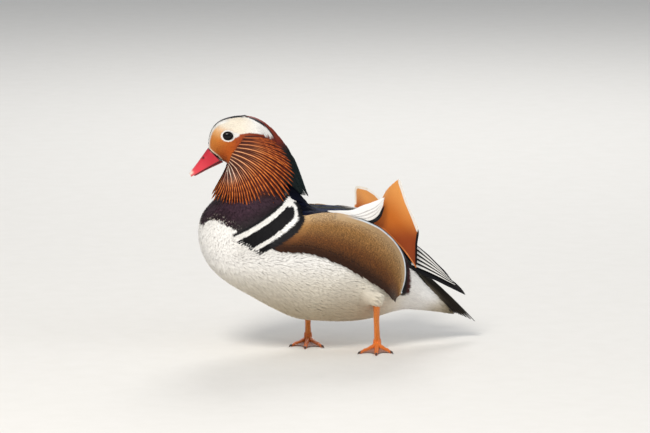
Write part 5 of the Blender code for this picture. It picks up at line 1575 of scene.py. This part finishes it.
def make_bill():
    """Upper bill with its nail and nostrils, and the lower bill under the line of the mouth."""
    count, rows = 72, 60
    s = np.linspace(0, 1, rows) ** 0.9
    table = curve(BILL, s * (len(BILL) - 1))
    top = table[:, 0:2]
    mouth = table[:, 2:4]
    half = table[:, 4]
    angle = 2 * math.pi * np.arange(count) / count
    rise, run = np.sin(angle), power(np.cos(angle), 2.3)
    up = top - mouth
    down = up / np.linalg.norm(up, axis=-1, keepdims=True)
    flat = (mouth[:, None] + up[:, None] * (np.maximum(rise, 0)[None, :, None])
            + down[:, None] * (np.minimum(rise, 0)[None, :, None] * 0.25))
    away = half[:, None] * run[None]
    away = away * (1 - 0.10 * np.sin(math.pi * np.clip(rise, 0, 1))[None] * np.sin(math.pi * np.clip(s, 0, 1))[:, None])
    ahead, above = flat[..., 0] - NOSTRIL[0], flat[..., 1] - NOSTRIL[1]
    spot = np.hypot(ahead * 0.72 + above * 0.5, above * 0.9 - ahead * 0.45)
    hole = step(spot, 1.5, 0.5) * (rise[None] > 0)
    away = away - np.sign(away) * hole * 1.8
    swell = step(spot, 3.0, 1.6) * (1 - hole) * (rise[None] > 0)
    away = away + np.sign(away) * swell * 0.25
    rings = turned(flat[..., 0], away, flat[..., 1])
    base = mix(rgb("c01a2e"), rgb("dc3644"), step(s, 0.1, 0.75)[:, None] * np.ones(count)[None])
    base = mix(base, rgb("a5142a"), 0.6 * step(rise, 0.55, 1.0)[None] * step(s, 0.5, 0.0)[:, None])
    base = mix(base, rgb("e8706c"), 0.4 * step(s, 0.60, 0.88)[:, None] * np.ones(count)[None])
    nail = step(s, 0.72, 0.86)[:, None] * step(np.abs(run), 1.0, 0.80)[None]
    base = mix(base, rgb("f4dccb"), nail)
    base = mix(base, rgb("571018"), step(rise, 0.06, -0.04)[None] * step(s, 0.97, 0.8)[:, None])
    base = mix(base, rgb("2a0b0c"), hole * 0.9)
    base = mix(base, rgb("4a0e14"), 0.8 * step(s, 0.04, 0.0)[:, None] * np.ones(count)[None])
    upper = ring_solid("bill_upper_horn", rings, base, BILL_LOOK, "bill", (0.05, 0.90))
    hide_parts("bill_upper")
    depth = np.interp(s, np.linspace(0, 1, 7), (3.6, 3.0, 2.6, 2.2, 1.9, 1.5, 1.2))
    low_half = np.maximum(half - 0.7, 0.8)
    drop = mouth - down * 0.42
    flat = drop[:, None] + down[:, None] * (np.minimum(rise, 0)[None, :, None] * depth[:, None, None])
    keep = s < 0.86
    rings = turned(flat[..., 0], low_half[:, None] * run[None], flat[..., 1])[keep]
    tone = mix(rgb("a02234"), rgb("c84850"), s[keep][:, None] * np.ones(count)[None])
    tone = mix(tone, rgb("33090e"), step(rise, -0.35, -0.02)[None] * np.ones((keep.sum(), 1)))
    lower = ring_solid("bill_lower_horn", rings, tone, BILL_LOOK, "bill", (0.15, 0.90))
    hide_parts("bill_lower")


EYE_LOOK = horn_material("eye_gloss", 0.16, 300.0, 0.0, coat=0.2, spread=0.05)
EYE_LOOK.node_tree.nodes["Principled BSDF"].inputs["Specular IOR Level"].default_value = 0.15


def make_eye(side):
    """A dark glossy eye with a rim of lid."""
    reach = float(head_side(np.array(EYE[0]), np.array(EYE[1])))
    centre = turned(EYE[0], side * (reach - 2.5), EYE[1])
    rows, count = 40, 56
    latitude = np.linspace(0.03, math.pi - 0.03, rows)
    angle = 2 * math.pi * np.arange(count) / count
    hx = 6.0 * np.sin(latitude)[:, None] * np.cos(angle)[None]
    z = 4.9 * np.sin(latitude)[:, None] * np.sin(angle)[None]
    out = 4.1 * np.cos(latitude)[:, None] * np.ones(count)[None]
    rings = centre + (turned(hx, side * out, z) - turned(0.0, 0.0, 0.0))
    spread = np.hypot(hx / 6.0, z / 4.9) * np.ones_like(out)
    colour = mix(rgb("030203"), rgb("150b07"), step(spread, 0.50, 0.62))
    colour = mix(colour, rgb("050303"), step(spread, 0.76, 0.86))
    eye = ring_solid(f"eyeball_{SIDE_NAMES[side]}", rings, colour, EYE_LOOK, "eye", (0.25 + 0.1 * (side > 0), 0.90))
    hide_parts(f"eye_{SIDE_NAMES[side]}")
    turn = np.linspace(0, 2 * math.pi, 61)
    hx, z = EYE[0] + 5.1 * np.cos(turn), EYE[1] + 4.1 * np.sin(turn)
    lid = turned(hx, side * (head_side(hx, z) + 0.25), z)
    tube(f"lid_{SIDE_NAMES[side]}", lid, np.full(61, 0.4), np.broadcast_to(rgb("140d0d"), (61, 3)), FACE_LOOK,
         "head_feathers", 10, bake=(0.45 + 0.06 * (side > 0), 0.90))


# Legs and feet

def make_leg(side):
    leg, name = LEGS[side], SIDE_NAMES[side]
    hip, ankle = (np.array(leg[k]) * (1, side, 1) for k in ("hip", "ankle"))
    foot = np.array((leg["foot"][0], leg["foot"][1] * side, ANKLE_JOINT_Z))
    top = ankle + (hip - ankle) * 0.55
    rows = 90
    s = np.linspace(0, 1, rows)
    points = curve([top, ankle, (ankle + foot) / 2, foot], np.interp(s, (0.0, 0.2, 1.0), (0.0, 1.0, 3.0)))
    radii = np.interp(s, (0.0, 0.2, 0.28, 0.45, 0.7, 0.9, 1.0), (3.5, 5.2, 4.7, 3.9, 3.6, 3.9, 4.2))
    radii = radii * (1 + 0.018 * np.abs(np.sin(s * 58.0)))
    tone = mix(rgb("ee7a22"), rgb("f08a34"), step(s, 0.0, 0.6))
    tone = mix(tone, rgb("d9641c"), 0.6 * step(s, 0.10, 0.0))
    shank = tube(f"shank_{name}", points, radii, tone, LEG_LOOK, "leg_scales", 28,
                 bake=(0.60 + 0.1 * (side > 0), 0.90), flat=0.8)
    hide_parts(f"tarsus_{name}")
    ahead = math.radians(180.0 - side * leg["toe_out"])
    tips = []
    first = None
    for number, (spread, length) in enumerate(TOES):
        heading = ahead + math.radians(spread) * side
        run = np.array((math.cos(heading), math.sin(heading), 0.0))
        s = np.linspace(0, 1, 60)
        points = foot + run * (length * s)[:, None]
        points[:, 2] = np.interp(s, (0.0, 0.25, 0.5, 0.78, 1.0), (4.9, 3.0, 2.0, 1.7, 1.2))
        radii = np.interp(s, (0.0, 0.25, 0.5, 0.78, 1.0), (3.2, 2.7, 2.4, 2.0, 1.5))
        joints = sum(np.exp(-((s - j) / 0.05) ** 2) for j in ((0.36, 0.7) if number != 1 else (0.28, 0.55, 0.8)))
        radii = radii * (0.90 + 0.12 * joints) * (1 + 0.02 * np.abs(np.sin(s * length * 1.6)))
        points[:, 2] = np.maximum(points[:, 2], radii * 0.9)
        tone = mix(rgb("f08532"), rgb("e8762a"), s)
        toe = tube(f"toe_{name}_{number}", points, radii, tone, LEG_LOOK, "leg_scales", 20,
                   bake=(0.60 + 0.1 * (side > 0), 0.80 - 0.08 * number), floor=0.02)
        first = first or toe
        tips.append(points[-1])
        claw_s = np.linspace(0, 1, 16)
        claw = points[-1] + run * (5.0 * (claw_s * 1.3 - 0.3))[:, None]
        claw[:, 2] = points[-1][2] + np.interp(claw_s, (0, 0.5, 1.0), (0.3, 0.6, -0.85))
        tube(f"claw_{name}_{number}", claw, np.interp(claw_s, (0, 0.5, 1), (1.3, 0.95, 0.15)),
             mix(rgb("4b3a30"), rgb("1d1613"), claw_s), CLAW_LOOK, "leg_scales", 12,
             bake=(0.85, 0.90 - 0.02 * number), floor=0.03)
    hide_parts(f"foot_{name}")
    back = -np.array((math.cos(ahead), math.sin(ahead), 0.0))
    s = np.linspace(0, 1, 24)
    hind = foot + back + back * (9.0 * 1.4 * s)[:, None]
    hind[:, 2] += np.interp(s, (0, 0.36, 0.71, 1.0), (-2.0, -3.5, -5.5, -7.0))
    tube(f"hind_toe_{name}", hind, np.interp(s, (0, 0.36, 0.71, 1.0), (1.8, 1.6, 1.3, 0.4)),
         mix(rgb("ec7f30"), rgb("6b4a34"), step(s, 0.75, 0.95)), LEG_LOOK, "leg_scales", 14, bake=(0.9, 0.80))
    s = np.linspace(0, 1, 24)
    knuckle = foot + np.array((0, 0, 1.0)) * np.interp(s, (0, 0.36, 0.75, 1.0), (1.2, -2.5, -6.5, -8.6))[:, None]
    tube(f"knuckle_{name}", knuckle, np.interp(s, (0, 0.36, 0.75, 1.0), (3.9, 4.4, 4.0, 2.6)),
         np.broadcast_to(rgb("ec7c2c"), (24, 3)), LEG_LOOK, "leg_scales", 24, bake=(0.9, 0.70), floor=0.02)
    for number, (one, two) in enumerate(zip(tips, tips[1:])):
        make_web(f"web_{name}_{number}", foot, one, two)


def make_web(name, foot, one, two):
    """The skin between two toes, thin and wrinkled, with its front edge drawn in."""
    s, v = np.meshgrid(np.linspace(0.08, 0.96, 40), np.linspace(0, 1, 40), indexing="ij")
    root = np.array((foot[0], foot[1], 0.0))
    spread = (one - root)[None, None] * (1 - v)[..., None] + (two - root)[None, None] * v[..., None]
    spot = root + spread * s[..., None]
    pull = 1 - 0.18 * np.sin(math.pi * v) * ((s - 0.12) / 0.84).clip(0, 1)
    spot = root + (spot - root) * pull[..., None]
    fold = 0.28 * np.sin(v * math.pi * 7) * np.sin(math.pi * v) * np.sin(math.pi * s)
    spot[..., 2] = 1.3 + 1.6 * (1 - s) - 0.5 * np.sin(math.pi * v) * s + fold
    colour = mix(rgb("d98548"), rgb("a67f72"), step(np.minimum(v, 1 - v), 0.05, 0.3))
    colour = mix(colour, rgb("8d7068"), 0.5 * step(s, 0.6, 0.95))
    thick = np.array((0.0, 0.0, 0.32))
    place = np.stack([0.90 + 0.04 * v, 0.60 + 0.04 * s], -1)
    dress(slab(name, spot + thick, spot - thick, colour, WEB_LOOK, place), "leg_scales")


def make_thigh_tufts(side):
    """Loose belly feathers that hang over the top of the shank."""
    rng = np.random.default_rng(121 + side)
    ankle, count = LEGS[side]["ankle"], 520
    x = ankle[0] + rng.uniform(-18, 6, count)
    z = ankle[2] + rng.uniform(-1, 11, count) - 0.25 * (x - ankle[0])
    places = np.array([side_place(a, b, side) for a, b in zip(x, z)])
    found = np.isfinite(places[:, 0])
    places, near = places[found], np.exp(-(((x[found] - ankle[0] + 4.0) / 7.0) ** 2))
    count = len(places)
    heading = unit(np.array((0.80, 0.0, -0.55)) + rng.normal(0, 0.08, (count, 3)))
    share = np.linspace(0, 1, 6)
    lifts = 0.1 + (0.5 + 3.8 * near[:, None]) * share**1.3 * rng.uniform(0.3, 1.0, (count, 1))
    path, ups, ts, _ = walk(places[:, 0], places[:, 1], heading, rng.uniform(8, 13, count), lifts)
    tone = paint(path[:, 3], ts[:, 3]) * rng.uniform(0.94, 1.03, (count, 1))
    # Painted shade towards each feather's root, where it lies under others, and a painted highlight along its middle
    shade = np.interp(share, (0, 0.5, 1.0), (0.88, 1.0, 1.02))
    colours = tone[:, None, None] * shade[None, :, None, None] * np.array((0.98, 1.02, 0.98))[None, None, :, None]
    profile = np.interp(share, *SMALL_SHAPE)
    coat = Coat(f"thigh_tufts_{SIDE_NAMES[side]}", SOFT_LOOK, "body_feathers")
    coat.add(path, ups, np.full((count, 1), 2.0) * profile, colours, bake_place(*places.T), crown=0.08)
    coat.flush()


make_bill()
for which in (LEFT, RIGHT):
    make_eye(which)
    make_leg(which)
    make_thigh_tufts(which)


# Camera, floor and light

def make_stage():
    mesh = bpy.data.meshes.new("floor")
    mesh.from_pydata([(-30, -30, 0), (30, -30, 0), (30, 30, 0), (-30, 30, 0)], [], [(0, 1, 2, 3)])
    floor = placed("floor", mesh)
    look, nodes, links, surface = new_material("floor_matt")
    shade = nodes.new("ShaderNodeMapRange")
    ramp = nodes.new("ShaderNodeMix")
    ramp.data_type = "RGBA"
    ramp.inputs[6].default_value = (*rgb("dedbd5"), 1)
    ramp.inputs[7].default_value = (*rgb("e4e1dc"), 1)
    links.new(noise_node(nodes, links, 40.0), shade.inputs["Value"])
    links.new(shade.outputs["Result"], ramp.inputs[0])
    links.new(ramp.outputs[2], surface.inputs["Base Color"])
    surface.inputs["Roughness"].default_value = 0.85
    mesh.materials.append(look)


def area_light(name, place, target, size, power, tint=(1, 1, 1)):
    light = bpy.data.lights.new(name, "AREA")
    light.shape = "DISK"
    light.size = size
    light.energy = power
    light.color = tint
    thing = placed(name, light)
    thing.location = place
    thing.rotation_euler = (Vector(target) - Vector(place)).to_track_quat("-Z", "Y").to_euler()


VIEW_TURN, VIEW_RISE = math.radians(-18.0), math.radians(9.0)
VIEW_WIDE, VIEW_RIGHT, VIEW_UP, VIEW_FAR = 0.689, -0.0121, 0.13725, 6.0
SENSOR = 36.0


def make_camera():
    """A long lens on the photo's side, with the frame VIEW_WIDE metres wide at the bird."""
    sine, cosine = math.sin(VIEW_TURN), math.cos(VIEW_TURN)
    back = Vector((sine * math.cos(VIEW_RISE), -cosine * math.cos(VIEW_RISE), math.sin(VIEW_RISE)))
    right = Vector((cosine, sine, 0))
    up = back.cross(right)
    data = bpy.data.cameras.new("camera")
    data.sensor_width = SENSOR
    data.lens = SENSOR * VIEW_FAR / VIEW_WIDE
    camera = placed("camera", data)
    camera.location = right * VIEW_RIGHT + up * VIEW_UP + back * VIEW_FAR
    camera.rotation_mode = "QUATERNION"
    camera.rotation_quaternion = (-back).to_track_quat("-Z", "Y")
    data.clip_start, data.clip_end = 0.05, 100.0
    bpy.context.scene.camera = camera


make_stage()
make_camera()
area_light("key", (-1.5, -1.7, 2.4), (0, 0, 0.12), 1.1, 78.0, (1.0, 0.97, 0.92))
area_light("fill", (1.8, -1.8, 1.2), (0, 0, 0.12), 1.8, 12.0, (0.93, 0.96, 1.0))
area_light("rim", (0.8, 1.9, 1.7), (0, 0, 0.12), 1.2, 24.0)
world = bpy.data.worlds.new("world")
world.use_nodes = True
world.node_tree.nodes["Background"].inputs["Color"].default_value = (0.86, 0.90, 0.96, 1)
world.node_tree.nodes["Background"].inputs["Strength"].default_value = 0.46
bpy.context.scene.world = world
bpy.context.scene.view_settings.view_transform = "Standard"
